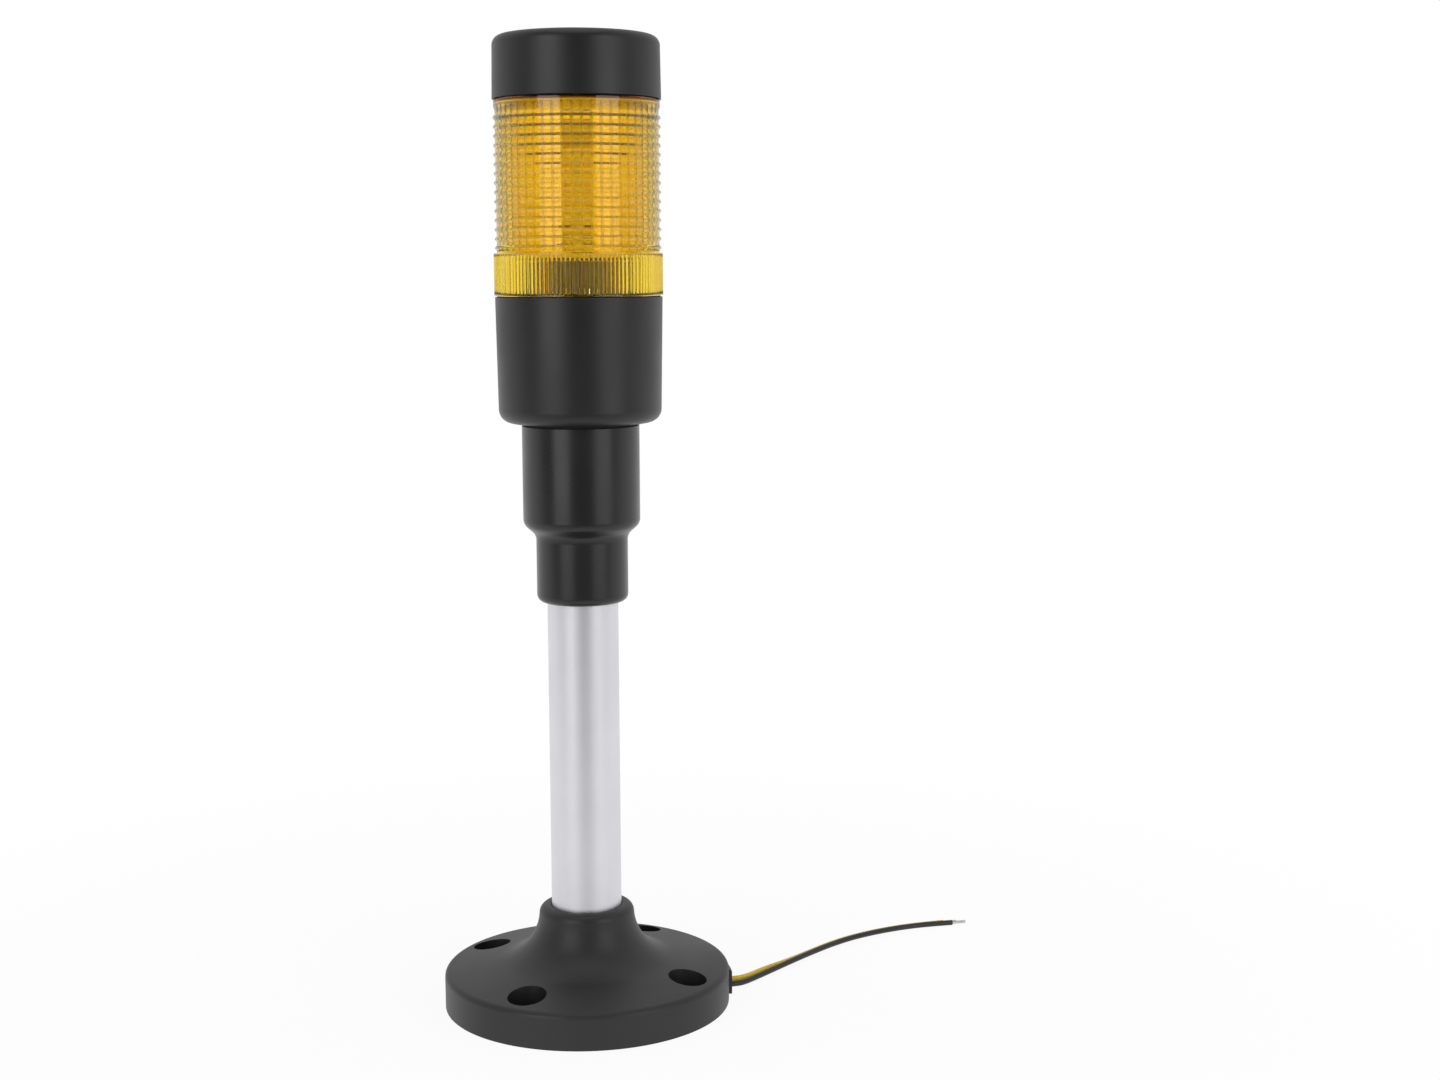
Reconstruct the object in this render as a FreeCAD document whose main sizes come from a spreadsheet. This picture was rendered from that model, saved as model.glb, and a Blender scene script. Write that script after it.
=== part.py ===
import FreeCAD, Part

# Single-tier amber stack light on a pole with a round foot.
# Frame: +Z up, millimetres, origin on the pole's axis at the underside of the foot.
# The plain side is -Y, the fixing screws are at the back, +Y, and the supply leads leave towards +X.
# Every driving size is a cell of the sheet Dimensions; the sheet Levels holds what is worked out from them.

import math
import os
import re
import sys
import Sketcher
from FreeCAD import Placement, Rotation, Vector

os.makedirs("parts", exist_ok=True)
doc = FreeCAD.newDocument("StackLight")

# ---- driving dimensions -------------------------------------------------------------------------
dimensions = [
    # foot
    ("foot_dia", 90.0, "outside diameter of the foot"),
    ("foot_rim", 11.1, "height of the foot's upright rim"),
    ("foot_crown", 16.3, "height at which the foot's top would meet the neck"),
    ("foot_height", 31.8, "height of the neck's lip"),
    ("neck_root_dia", 32.0, "neck diameter where the flare starts"),
    ("neck_lip_dia", 29.5, "neck diameter at the lip"),
    ("flare_radius", 16.0, "radius of the flare between neck and foot"),
    ("lip_radius", 2.8, "rounding of the neck's lip"),
    ("lip_inner_radius", 0.6, "rounding of the lip's inner edge"),
    ("rim_radius", 1.8, "rounding of the foot's top edge"),
    ("foot_wall", 3.5, "thickness of the foot's rim"),
    ("foot_hollow", 8.5, "height of the hollow under the foot"),
    ("hub_dia", 28.4, "outside diameter of the hub under the pole"),
    ("hub_lift", 3.6, "gap under the hub, where the leads pass"),
    ("pole_seat", 6.0, "height of the ledge that the pole stands on"),
    ("ledge_bore", 16.0, "hole in that ledge, for the leads"),
    # mounting holes
    ("bolt_circle", 72.0, "pitch circle of the mounting holes"),
    ("bolt_hole", 5.5, "mounting hole diameter"),
    ("bolt_recess", 12.0, "counterbore diameter"),
    ("bolt_floor", 5.0, "thickness under the screw head"),
    ("bolt_post", 16.0, "diameter of the posts round the holes"),
    ("bolt_turn", 63.0, "plan angle of the first mounting hole"),
    ("overlap", 0.5, "how far posts, hooks and stops reach into what carries them"),
    # lead outlet
    ("outlet_turn", 14.0, "plan angle of the lead outlet"),
    ("outlet_spread", 18.0, "angle that the outlet's boss spans"),
    ("outlet_proud", 1.2, "how far the boss stands out of the rim"),
    ("outlet_boss_height", 8.6, "height of the boss"),
    ("outlet_width", 6.0, "width of the notch for the leads"),
    ("outlet_height", 3.2, "height of the notch"),
    # pole
    ("pole_dia", 22.0, "pole diameter"),
    ("pole_wall", 1.5, "pole wall"),
    ("pole_length", 150.0, "pole length"),
    ("pole_chamfer", 0.4, "chamfer on the pole's ends"),
    ("pole_clearance", 0.05, "radial clearance of the pole in its sockets"),
    # set screws
    ("set_screw_dia", 3.0, "set screw diameter"),
    ("set_screw_hex", 1.5, "key size of the set screw"),
    ("set_screw_hex_depth", 1.2, "depth of the key socket"),
    ("insert_dia", 4.4, "threaded insert diameter"),
    ("insert_length", 2.6, "length of the insert and of the set screw"),
    ("thread_clearance", 0.03, "radial clearance of screws and inserts"),
    ("foot_screw_height", 25.0, "height of the foot's set screw"),
    ("adapter_screw_height", 10.0, "height of the adapter's set screw above its lower end"),
    # adapter
    ("adapter_grip", 27.3, "length of pole inside the adapter"),
    ("adapter_length", 54.6, "overall length of the adapter"),
    ("adapter_small_dia", 28.3, "diameter of its lower part"),
    ("adapter_large_dia", 36.1, "diameter of its upper part"),
    ("adapter_neck", 20.9, "length of the lower part"),
    ("adapter_slope", 3.4, "height of the sloping step"),
    ("adapter_step_radius", 3.5, "roundings of the step"),
    ("adapter_foot_radius", 2.4, "rounding of the lower end"),
    ("adapter_ledge", 2.0, "thickness of the stop above the pole"),
    ("adapter_bore", 18.0, "hole in that stop"),
    ("gasket_thickness", 1.0, "adapter gasket thickness"),
    ("gasket_inset", 0.55, "how far the gasket stays back from the adapter's outside"),
    # housing
    ("spigot_dia", 29.7, "housing spigot inside the adapter"),
    ("spigot_bore", 24.0, "bore of that spigot"),
    ("spigot_length", 11.0, "length of that spigot"),
    ("spigot_clearance", 0.1, "radial clearance of the spigot"),
    ("housing_height", 38.2, "height of the housing"),
    ("housing_inset", 0.2, "how far the housing's top stays back from the collar's outside"),
    ("housing_taper", 0.6, "how far the housing's side draws in towards its bottom"),
    ("housing_wall", 2.1, "housing wall at the bottom"),
    ("housing_floor", 3.0, "housing floor"),
    ("housing_radius", 4.2, "rounding of the housing's bottom edge"),
    ("socket_clearance", 0.1, "radial clearance of the socket's flange in the housing"),
    ("post_circle", 29.6, "pitch circle of the screw posts"),
    ("post_dia", 5.4, "screw post diameter"),
    # bayonet, the same under the light module and under the cap
    ("bayonet_dia", 39.0, "outside diameter of the bayonet spigot"),
    ("bayonet_wall", 1.8, "wall of the bayonet spigot"),
    ("bayonet_height", 10.4, "height of the spigot above the seat of the collar"),
    ("bayonet_lug", 1.2, "radial height of the fixed lugs"),
    ("lug_low", 2.5, "height of the fixed lugs' underside above the seat"),
    ("lug_high", 8.0, "height of the fixed lugs' top above the seat"),
    ("lug_start", 267.3, "plan angle at which the first fixed lug starts"),
    ("lug_spread", 38.7, "angle that a fixed lug spans"),
    ("stop_spread", 3.0, "angle of the stop under a lug's end"),
    ("stop_low", 0.3, "height of the stop's underside above the seat"),
    ("hook_spread", 12.0, "angle of a moving hook"),
    ("hook_low", 0.5, "height of a hook's underside above the seat"),
    ("hook_gap", 0.1, "gap between a hook and the lug over it"),
    ("hook_slack", 0.4, "angle between a hook and its stop when locked"),
    ("bayonet_gap", 0.3, "radial gap between spigot and hooks"),
    ("collar_gap", 2.6, "radial gap between lugs and collar"),
    ("seal_thickness", 0.4, "flat seal under a collar"),
    ("seal_inset", 0.6, "how far a seal stays back from the collar's outside"),
    ("seal_clearance", 0.05, "radial clearance of a seal round its spigot"),
    # socket
    ("socket_flange", 3.0, "flange height"),
    ("plate_drop", 1.9, "how far the contact plate lies below the spigot's rim"),
    ("plate_thickness", 2.0, "contact plate thickness"),
    ("plate_screw_dia", 2.9, "socket screw diameter"),
    ("plate_screw_length", 12.0, "length of the socket screw below its head"),
    ("plate_screw_head", 5.2, "head diameter"),
    ("plate_screw_head_height", 1.6, "head height"),
    ("plate_screw_turn", 90.0, "plan angle of the first socket screw"),
    # contacts
    ("pad_thickness", 0.6, "contact pad thickness"),
    ("pad_width", 4.0, "radial width of a pad"),
    ("pad_spread", 58.0, "angle that a pad spans"),
    ("pad_lead_in", 10.0, "angle of pad ahead of the locked place"),
    ("tag_width", 2.8, "solder tag width"),
    ("tag_thickness", 0.6, "solder tag thickness"),
    ("tag_drop", 4.0, "how far the tags reach below the plate"),
    ("tag_clearance", 0.1, "clearance of the tags in their slots"),
    ("inner_track", 15.0, "diameter of the inner contact track"),
    ("outer_track", 25.0, "diameter of the outer contact track"),
    ("spring_width", 3.0, "contact spring width"),
    ("spring_sheet", 0.3, "contact spring thickness"),
    ("spring_tip", 1.5, "length of a spring's flat tip"),
    ("spring_reach", 4.4, "length of a spring's slope"),
    ("spring_foot", 4.0, "length of a spring's foot"),
    # lens
    ("collar_wall", 2.4, "collar wall"),
    ("collar_height", 12.9, "collar height"),
    ("collar_proud", 1.0, "how far the collar stands out from the wall between the rings"),
    ("lens_wall", 2.2, "lens wall"),
    ("shoulder_proud", 0.4, "how far the shoulder under the cap stands out from that wall"),
    ("lens_height", 58.3, "height from the collar's edge to the shoulder"),
    ("shoulder_band", 1.8, "height of the shoulder's upright band"),
    ("shoulder_slope", 1.2, "height of the slope under that band"),
    ("lens_crown", 1.8, "thickness of the lens's closed top"),
    ("floor_recess", 0.2, "height of the floor's seat above the collar's top edge"),
    ("ring_root", 1.6, "height of a ring where it leaves the wall"),
    ("ring_crest", 0.4, "height of a ring's crest"),
    ("ring_proud", 0.6, "how far a ring stands out"),
    ("ring_first", 14.3, "height of the lowest ring above the collar's edge"),
    ("ring_pitch", 2.78, "pitch of the rings"),
    ("flute_depth", 0.5, "depth of the inner flutes"),
    ("flute_width", 1.1, "width of an inner flute"),
    ("flute_margin", 1.0, "plain height above and below the flutes"),
    # light module
    ("floor_thickness", 1.6, "module floor thickness"),
    ("floor_clearance", 0.1, "radial clearance of the module floor"),
    ("floor_notch_play", 1.0, "play of the floor's notches on each side of a hook"),
    ("board_dia", 38.0, "round board diameter"),
    ("board_thickness", 1.6, "board thickness"),
    ("column_width", 11.0, "upright board width"),
    ("column_height", 38.0, "upright board height"),
    ("led_width", 3.5, "LED width"),
    ("led_height", 2.8, "LED height"),
    ("led_thickness", 1.9, "LED thickness"),
    ("led_first", 4.0, "height of the first LED above the round board"),
    ("led_pitch", 6.2, "LED pitch up the board"),
    ("led_columns", 5.4, "distance between the two columns of LEDs"),
    ("rectifier_size", 4.6, "side of the bridge rectifier"),
    ("rectifier_height", 2.4, "height of the bridge rectifier"),
    ("resistor_length", 6.4, "resistor length"),
    ("resistor_width", 3.2, "resistor width"),
    ("resistor_height", 0.8, "resistor height"),
    ("part_offset", 11.0, "distance of these parts from the board's middle"),
    # cap
    ("cap_inset", 0.2, "how far the cap's lower edge stays back from the collar's outside"),
    ("cap_taper", 0.3, "how far the cap's side draws in towards its top"),
    ("cap_height", 18.8, "cap height"),
    ("cap_crown", 2.2, "thickness of the cap's top"),
    ("cap_radius", 3.0, "rounding of the cap's top edge"),
    ("cap_inner_radius", 1.5, "rounding inside the cap"),
    # leads
    ("lead_dia", 1.8, "lead diameter over its insulation"),
    ("strand_dia", 1.1, "diameter of the tinned strands"),
    ("strand_length", 5.0, "stripped length"),
    ("lead_offset", 1.6, "distance of each lead from the middle of the outlet"),
]

ring_count = 15          # rings on the lens
flute_count = 50         # flutes inside the lens
hook_count = 3           # hooks and lugs of a bayonet
bolt_count = 4           # mounting holes
led_rows = 5             # LEDs in a column

sheet = doc.addObject("Spreadsheet::Sheet", "Dimensions")
for row, (alias, value, note) in enumerate(dimensions, start=1):
    sheet.set(f"A{row}", alias)
    sheet.set(f"B{row}", str(value))
    sheet.set(f"C{row}", note)
    sheet.setAlias(f"B{row}", alias)
doc.recompute()
aliases = {alias for alias, value, note in dimensions}

# ---- heights and diameters worked out from them --------------------------------------------------
levels = [
    ("adapter_z", "pole_seat + pole_length - adapter_grip"),
    ("gasket_z", "adapter_z + adapter_length"),
    ("housing_z", "gasket_z + gasket_thickness"),
    ("housing_top", "housing_z + housing_height"),
    ("lens_z", "housing_top + seal_thickness"),
    ("socket_z", "housing_top - socket_flange"),
    ("socket_height", "socket_flange + seal_thickness + bayonet_height"),
    ("plate_top", "socket_height - plate_drop"),
    ("pad_z", "socket_z + plate_top"),
    ("shoulder_z", "lens_z + lens_height"),
    ("cap_z", "shoulder_z + seal_thickness"),
    ("floor_seat", "collar_height + floor_recess"),
    ("floor_z", "lens_z + floor_seat - floor_thickness"),
    ("board_z", "lens_z + floor_seat"),
    ("column_z", "board_z + board_thickness"),
    ("spring_rise", "floor_z - pad_z - pad_thickness"),
    ("collar_bore", "bayonet_dia + 2 * bayonet_lug + 2 * collar_gap"),
    ("collar_dia", "collar_bore + 2 * collar_wall"),
    ("housing_top_dia", "collar_dia - 2 * housing_inset"),
    ("housing_low_dia", "housing_top_dia - 2 * housing_taper"),
    ("lens_dia", "collar_dia - 2 * collar_proud"),
    ("lens_shoulder_dia", "lens_dia + 2 * shoulder_proud"),
    ("cap_low_dia", "collar_dia - 2 * cap_inset"),
    ("cap_top_dia", "cap_low_dia - 2 * cap_taper"),
    ("foot_bore", "pole_dia + 2 * pole_clearance"),
    ("outlet_radius", "foot_dia / 2 + outlet_proud"),
]

heights = doc.addObject("Spreadsheet::Sheet", "Levels")
level_names = {alias for alias, formula in levels}


def ex(text):
    """Write the sheet's name before each alias in an expression."""
    def full(word):
        name = word.group(0)
        if name in aliases:
            return "Dimensions." + name
        return "Levels." + name if name in level_names else name
    return re.sub(r"[a-z][a-z_]+", full, text)


for row, (alias, formula) in enumerate(levels, start=1):
    heights.set(f"A{row}", alias)
    heights.setAlias(f"B{row}", alias)
for row, (alias, formula) in enumerate(levels, start=1):
    text = re.sub(r"Levels\.", "", ex(formula))
    heights.set(f"B{row}", "=" + text)
doc.recompute()


def size(alias):
    """The number in a cell of either sheet."""
    return float(sheet.get(alias) if alias in aliases else heights.get(alias))


# ---- helpers ------------------------------------------------------------------------------------
def body_named(label, height=None):
    """An empty body, lifted to a height that stays bound to the sheets."""
    body = doc.addObject("PartDesign::Body", label)
    body.Label = label
    if height:
        body.setExpression("Placement.Base.z", ex(height))
    return body


def origin_feature(body, role):
    return [item for item in body.Origin.OriginFeatures if item.Role == role][0]


def sketch_on(body, name, role, lift=None, turn=None):
    """A sketch on an origin plane of its own body, lifted off it or turned about the sketch's upright axis."""
    sketch = body.newObject("Sketcher::SketchObject", name)
    sketch.AttachmentSupport = [(origin_feature(body, role), "")]
    sketch.MapMode = "FlatFace"
    if turn:
        upright = Vector(0, 0, 1) if role == "XY_Plane" else Vector(0, 1, 0)
        sketch.AttachmentOffset = Placement(Vector(), Rotation(upright, 1))
        sketch.setExpression("AttachmentOffset.Rotation.Angle", ex(turn))
    if lift:
        sketch.setExpression("AttachmentOffset.Base.z", ex(lift))
    return sketch


def hold(sketch, constraint, expression):
    """Add a dimension and bind it to the sheets."""
    index = sketch.addConstraint(constraint)
    sketch.setExpression(f"Constraints[{index}]", ex(expression))


def outline(sketch, corners):
    """A closed outline: each corner is held by its distances from the sketch's origin; "0" means on the axis."""
    count = len(corners)
    angles = [2 * math.pi * i / count for i in range(count)]
    guess = [Vector(60 + 20 * math.cos(a), 60 + 20 * math.sin(a), 0) for a in angles]
    lines = [Part.LineSegment(guess[i], guess[(i + 1) % count]) for i in range(count)]
    sketch.addGeometry(lines, False)
    joins = [Sketcher.Constraint("Coincident", i, 2, (i + 1) % count, 1) for i in range(count)]
    sketch.addConstraint(joins)
    for i, (across, up) in enumerate(corners):
        if across == "0":
            sketch.addConstraint(Sketcher.Constraint("PointOnObject", i, 1, -2))
        else:
            hold(sketch, Sketcher.Constraint("DistanceX", -1, 1, i, 1, guess[i].x), across)
        if up == "0":
            sketch.addConstraint(Sketcher.Constraint("PointOnObject", i, 1, -1))
        else:
            hold(sketch, Sketcher.Constraint("DistanceY", -1, 1, i, 1, guess[i].y), up)


def rectangle(sketch, left, low, right, high):
    outline(sketch, [(left, low), (right, low), (right, high), (left, high)])


def circle(sketch, radius, across="0", up="0"):
    """A circle with its centre on the axes, or held at a distance from them."""
    index = sketch.addGeometry(Part.Circle(Vector(40, 30, 0), Vector(0, 0, 1), 3), False)
    hold(sketch, Sketcher.Constraint("Radius", index, 3), radius)
    if across == "0":
        sketch.addConstraint(Sketcher.Constraint("PointOnObject", index, 3, -2))
    else:
        hold(sketch, Sketcher.Constraint("DistanceX", -1, 1, index, 3, 40), across)
    if up == "0":
        sketch.addConstraint(Sketcher.Constraint("PointOnObject", index, 3, -1))
    else:
        hold(sketch, Sketcher.Constraint("DistanceY", -1, 1, index, 3, 30), up)


def volume(body):
    doc.recompute()
    return body.Shape.Volume


def revolve(body, name, corners, turn=None, angle=None):
    """Turn an outline of (radius, height) corners about the body's upright axis."""
    sketch = sketch_on(body, name + "Sketch", "XZ_Plane", turn=turn)
    outline(sketch, corners)
    feature = body.newObject("PartDesign::Revolution", name)
    feature.Profile = sketch
    feature.ReferenceAxis = (sketch, ["V_Axis"])
    feature.Refine = False
    feature.Angle = 360
    if angle:
        feature.setExpression("Angle", ex(angle))
    sketch.Visibility = False
    doc.recompute()
    return feature


def pad(body, sketch, name, length, midplane=False):
    feature = body.newObject("PartDesign::Pad", name)
    feature.Profile = sketch
    feature.setExpression("Length", ex(length))
    feature.Midplane = midplane
    doc.recompute()
    return feature


def pocket(body, sketch, name, length, along_normal):
    """Cut a sketch through its body, along the sketch's normal or against it, and make sure that it cuts."""
    before = volume(body)
    feature = body.newObject("PartDesign::Pocket", name)
    feature.Profile = sketch
    feature.setExpression("Length", ex(length))
    feature.Reversed = along_normal
    feature.Refine = False
    if volume(body) >= before - 1e-6:
        raise RuntimeError(f"{body.Label}.{name} cuts nothing")
    return feature


def around(body, feature, name, count):
    """Repeat a feature about the upright axis."""
    pattern = body.newObject("PartDesign::PolarPattern", name)
    pattern.Originals = [feature]
    pattern.Axis = (origin_feature(body, "Z_Axis"), [""])
    pattern.Angle = 360
    pattern.Occurrences = count
    pattern.Refine = False
    body.Tip = pattern
    doc.recompute()
    return pattern


def upwards(body, feature, name, count, length):
    """Repeat a feature up the body, over this length."""
    pattern = body.newObject("PartDesign::LinearPattern", name)
    pattern.Originals = [feature]
    pattern.Direction = (origin_feature(body, "Z_Axis"), [""])
    pattern.setExpression("Length", ex(length))
    pattern.Occurrences = count
    pattern.Refine = False
    body.Tip = pattern
    doc.recompute()
    return pattern


def rims(feature, radius, height, tolerance=0.02):
    """Names of the circular edges of this radius at this height."""
    found = []
    for number, edge in enumerate(feature.Shape.Edges, start=1):
        if not isinstance(edge.Curve, Part.Circle):
            continue
        flat = abs(edge.Curve.Axis.z) > 0.999
        if flat and abs(edge.Curve.Radius - radius) < tolerance and abs(edge.Curve.Center.z - height) < tolerance:
            found.append(f"Edge{number}")
    if not found:
        raise RuntimeError(f"{feature.Label} has no rim of radius {radius:.2f} at {height:.2f}")
    return found


def fillet(body, feature, name, edges, radius):
    rounding = body.newObject("PartDesign::Fillet", name)
    rounding.Base = (feature, edges)
    rounding.setExpression("Radius", ex(radius))
    doc.recompute()
    return rounding


def chamfer(body, feature, name, edges, depth):
    cut = body.newObject("PartDesign::Chamfer", name)
    cut.Base = (feature, edges)
    cut.setExpression("Size", ex(depth))
    doc.recompute()
    return cut


def ring(label, height, outer, inner, thickness):
    """A flat ring or, with no inner radius, a disc."""
    body = body_named(label, height)
    sketch = sketch_on(body, label + "Sketch", "XY_Plane")
    circle(sketch, outer)
    if inner:
        circle(sketch, inner)
    pad(body, sketch, label + "Pad", thickness)
    return body


def group(label, members):
    """Several separate solids that count as one sub-part."""
    compound = doc.addObject("Part::Compound", label)
    compound.Label = label
    compound.Links = members
    return compound


def bound_box(name, length, width, height):
    box = doc.addObject("Part::Box", name)
    box.setExpression("Length", ex(length))
    box.setExpression("Width", ex(width))
    box.setExpression("Height", ex(height))
    return box


def put(item, across, along, up):
    """Bind an object's place to the sheets."""
    item.setExpression("Placement.Base.x", ex(across))
    item.setExpression("Placement.Base.y", ex(along))
    item.setExpression("Placement.Base.z", ex(up))


def bound_cylinder(name, radius, height):
    cylinder = doc.addObject("Part::Cylinder", name)
    cylinder.setExpression("Radius", ex(radius))
    cylinder.setExpression("Height", ex(height))
    return cylinder


# ---- foot ---------------------------------------------------------------------------------------
def make_foot():
    """Moulded foot: a hollow disc with a flared neck, four counterbored holes and an outlet for the leads."""
    body = body_named("base_flange")
    shape = revolve(body, "FootBody", [
        ("ledge_bore / 2", "hub_lift"),
        ("hub_dia / 2", "hub_lift"),
        ("hub_dia / 2", "foot_hollow"),
        ("foot_dia / 2 - foot_wall", "foot_hollow"),
        ("foot_dia / 2 - foot_wall", "0"),
        ("foot_dia / 2", "0"),
        ("foot_dia / 2", "foot_rim"),
        ("neck_root_dia / 2", "foot_crown"),
        ("neck_lip_dia / 2", "foot_height"),
        ("foot_bore / 2", "foot_height"),
        ("foot_bore / 2", "pole_seat"),
        ("ledge_bore / 2", "pole_seat"),
    ])
    edge = rims(shape, size("neck_root_dia") / 2, size("foot_crown"))
    shape = fillet(body, shape, "Flare", edge, "flare_radius")
    edge = rims(shape, size("foot_dia") / 2, size("foot_rim"))
    shape = fillet(body, shape, "RimEdge", edge, "rim_radius")
    edge = rims(shape, size("neck_lip_dia") / 2, size("foot_height"))
    shape = fillet(body, shape, "Lip", edge, "lip_radius")
    edge = rims(shape, size("foot_bore") / 2, size("foot_height"))
    shape = fillet(body, shape, "LipInside", edge, "lip_inner_radius")

    sketch = sketch_on(body, "PostSketch", "XY_Plane", turn="bolt_turn")
    circle(sketch, "bolt_post / 2", across="bolt_circle / 2")
    post = pad(body, sketch, "Post", "foot_hollow + overlap")
    around(body, post, "Posts", bolt_count)

    sketch = sketch_on(body, "RecessSketch", "XY_Plane", lift="bolt_floor", turn="bolt_turn")
    circle(sketch, "bolt_recess / 2", across="bolt_circle / 2")
    recess = pocket(body, sketch, "Recess", "foot_height", along_normal=True)
    around(body, recess, "Recesses", bolt_count)

    sketch = sketch_on(body, "HoleSketch", "XY_Plane", turn="bolt_turn")
    circle(sketch, "bolt_hole / 2", across="bolt_circle / 2")
    hole = pocket(body, sketch, "Hole", "foot_height", along_normal=True)
    around(body, hole, "Holes", bolt_count)

    revolve(body, "OutletBoss", [
        ("foot_dia / 2 - foot_wall / 2", "0"),
        ("outlet_radius", "0"),
        ("outlet_radius", "outlet_boss_height - outlet_proud"),
        ("foot_dia / 2 - foot_wall / 2", "outlet_boss_height + outlet_proud"),
    ], turn="outlet_turn - outlet_spread / 2", angle="outlet_spread")

    sketch = sketch_on(body, "NotchSketch", "XZ_Plane", turn="outlet_turn - 90")
    rectangle(sketch, "-outlet_width / 2", "0", "outlet_width / 2", "outlet_height")
    pocket(body, sketch, "Notch", "foot_dia", along_normal=False)

    sketch = sketch_on(body, "ScrewHoleSketch", "XZ_Plane")
    circle(sketch, "insert_dia / 2 + thread_clearance", up="foot_screw_height")
    pocket(body, sketch, "ScrewHole", "foot_dia / 2", along_normal=False)
    return body


# ---- pole and adapter ---------------------------------------------------------------------------
def make_pole():
    body = body_named("pole", "pole_seat")
    sketch = sketch_on(body, "PoleSketch", "XY_Plane")
    circle(sketch, "pole_dia / 2")
    circle(sketch, "pole_dia / 2 - pole_wall")
    tube = pad(body, sketch, "PoleTube", "pole_length")
    edges = rims(tube, size("pole_dia") / 2, 0) + rims(tube, size("pole_dia") / 2, size("pole_length"))
    chamfer(body, tube, "PoleEnds", edges, "pole_chamfer")
    return body


def make_adapter():
    """Stepped adapter: the lower part grips the pole, the upper part takes the housing's spigot."""
    body = body_named("pole_adapter", "adapter_z")
    shape = revolve(body, "AdapterBody", [
        ("foot_bore / 2", "0"),
        ("adapter_small_dia / 2", "0"),
        ("adapter_small_dia / 2", "adapter_neck"),
        ("adapter_large_dia / 2", "adapter_neck + adapter_slope"),
        ("adapter_large_dia / 2", "adapter_length"),
        ("spigot_dia / 2 + spigot_clearance", "adapter_length"),
        ("spigot_dia / 2 + spigot_clearance", "adapter_grip + adapter_ledge"),
        ("adapter_bore / 2", "adapter_grip + adapter_ledge"),
        ("adapter_bore / 2", "adapter_grip"),
        ("foot_bore / 2", "adapter_grip"),
    ])
    step = size("adapter_neck")
    edges = rims(shape, size("adapter_small_dia") / 2, step)
    edges += rims(shape, size("adapter_large_dia") / 2, step + size("adapter_slope"))
    shape = fillet(body, shape, "Step", edges, "adapter_step_radius")
    edges = rims(shape, size("adapter_small_dia") / 2, 0)
    shape = fillet(body, shape, "LowerEnd", edges, "adapter_foot_radius")
    sketch = sketch_on(body, "ScrewHoleSketch", "XZ_Plane")
    circle(sketch, "insert_dia / 2 + thread_clearance", up="adapter_screw_height")
    pocket(body, sketch, "ScrewHole", "adapter_large_dia / 2", along_normal=False)
    return body


def make_set_screws():
    """Two hexagon-socket set screws in brass inserts, on the back, clamp the pole in the foot and in the adapter."""
    screws = []
    inserts = []
    for place, height in (("Foot", "foot_screw_height"), ("Adapter", "adapter_z + adapter_screw_height")):
        blank = bound_cylinder(place + "ScrewBlank", "set_screw_dia / 2", "insert_length")
        key = doc.addObject("Part::Prism", place + "ScrewKey")
        key.Polygon = 6
        key.setExpression("Circumradius", ex("set_screw_hex / sqrt(3)"))
        key.setExpression("Height", ex("set_screw_hex_depth + overlap"))
        key.setExpression("Placement.Base.z", ex("insert_length - set_screw_hex_depth"))
        screw = doc.addObject("Part::Cut", place + "Screw")
        screw.Base = blank
        screw.Tool = key
        outer = bound_cylinder(place + "InsertBlank", "insert_dia / 2", "insert_length")
        inner = bound_cylinder(place + "InsertBore", "set_screw_dia / 2 + thread_clearance", "insert_length")
        insert = doc.addObject("Part::Cut", place + "Insert")
        insert.Base = outer
        insert.Tool = inner
        for item, start in ((screw, "pole_dia / 2"), (insert, "pole_dia / 2 + pole_clearance")):
            item.Placement = Placement(Vector(), Rotation(Vector(1, 0, 0), -90))
            item.setExpression("Placement.Base.y", ex(start))
            item.setExpression("Placement.Base.z", ex(height))
        screws.append(screw)
        inserts.append(insert)
    return group("pole_set_screws", screws), group("threaded_inserts", inserts)


# ---- bayonet ------------------------------------------------------------------------------------
def add_lugs(body, seat):
    """Fixed lugs on a spigot, each with a stop below its clockwise end."""
    for name, low, high, spread in (
        ("Lug", "lug_low", "lug_high", "lug_spread"),
        ("Stop", "stop_low", "lug_low + overlap", "stop_spread"),
    ):
        feature = revolve(body, name, [
            ("bayonet_dia / 2 - bayonet_wall / 2", f"{seat} + {low}"),
            ("bayonet_dia / 2 + bayonet_lug", f"{seat} + {low}"),
            ("bayonet_dia / 2 + bayonet_lug", f"{seat} + {high}"),
            ("bayonet_dia / 2 - bayonet_wall / 2", f"{seat} + {high}"),
        ], turn="lug_start", angle=spread)
        around(body, feature, name + "s", hook_count)


def add_hooks(body):
    """Moving hooks inside a collar, drawn locked: each lies under a fixed lug, against its stop."""
    feature = revolve(body, "Hook", [
        ("bayonet_dia / 2 + bayonet_gap", "hook_low"),
        ("collar_bore / 2 + overlap", "hook_low"),
        ("collar_bore / 2 + overlap", "lug_low - hook_gap"),
        ("bayonet_dia / 2 + bayonet_gap", "lug_low - hook_gap"),
    ], turn="lug_start + stop_spread + hook_slack", angle="hook_spread")
    around(body, feature, "Hooks", hook_count)


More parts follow.
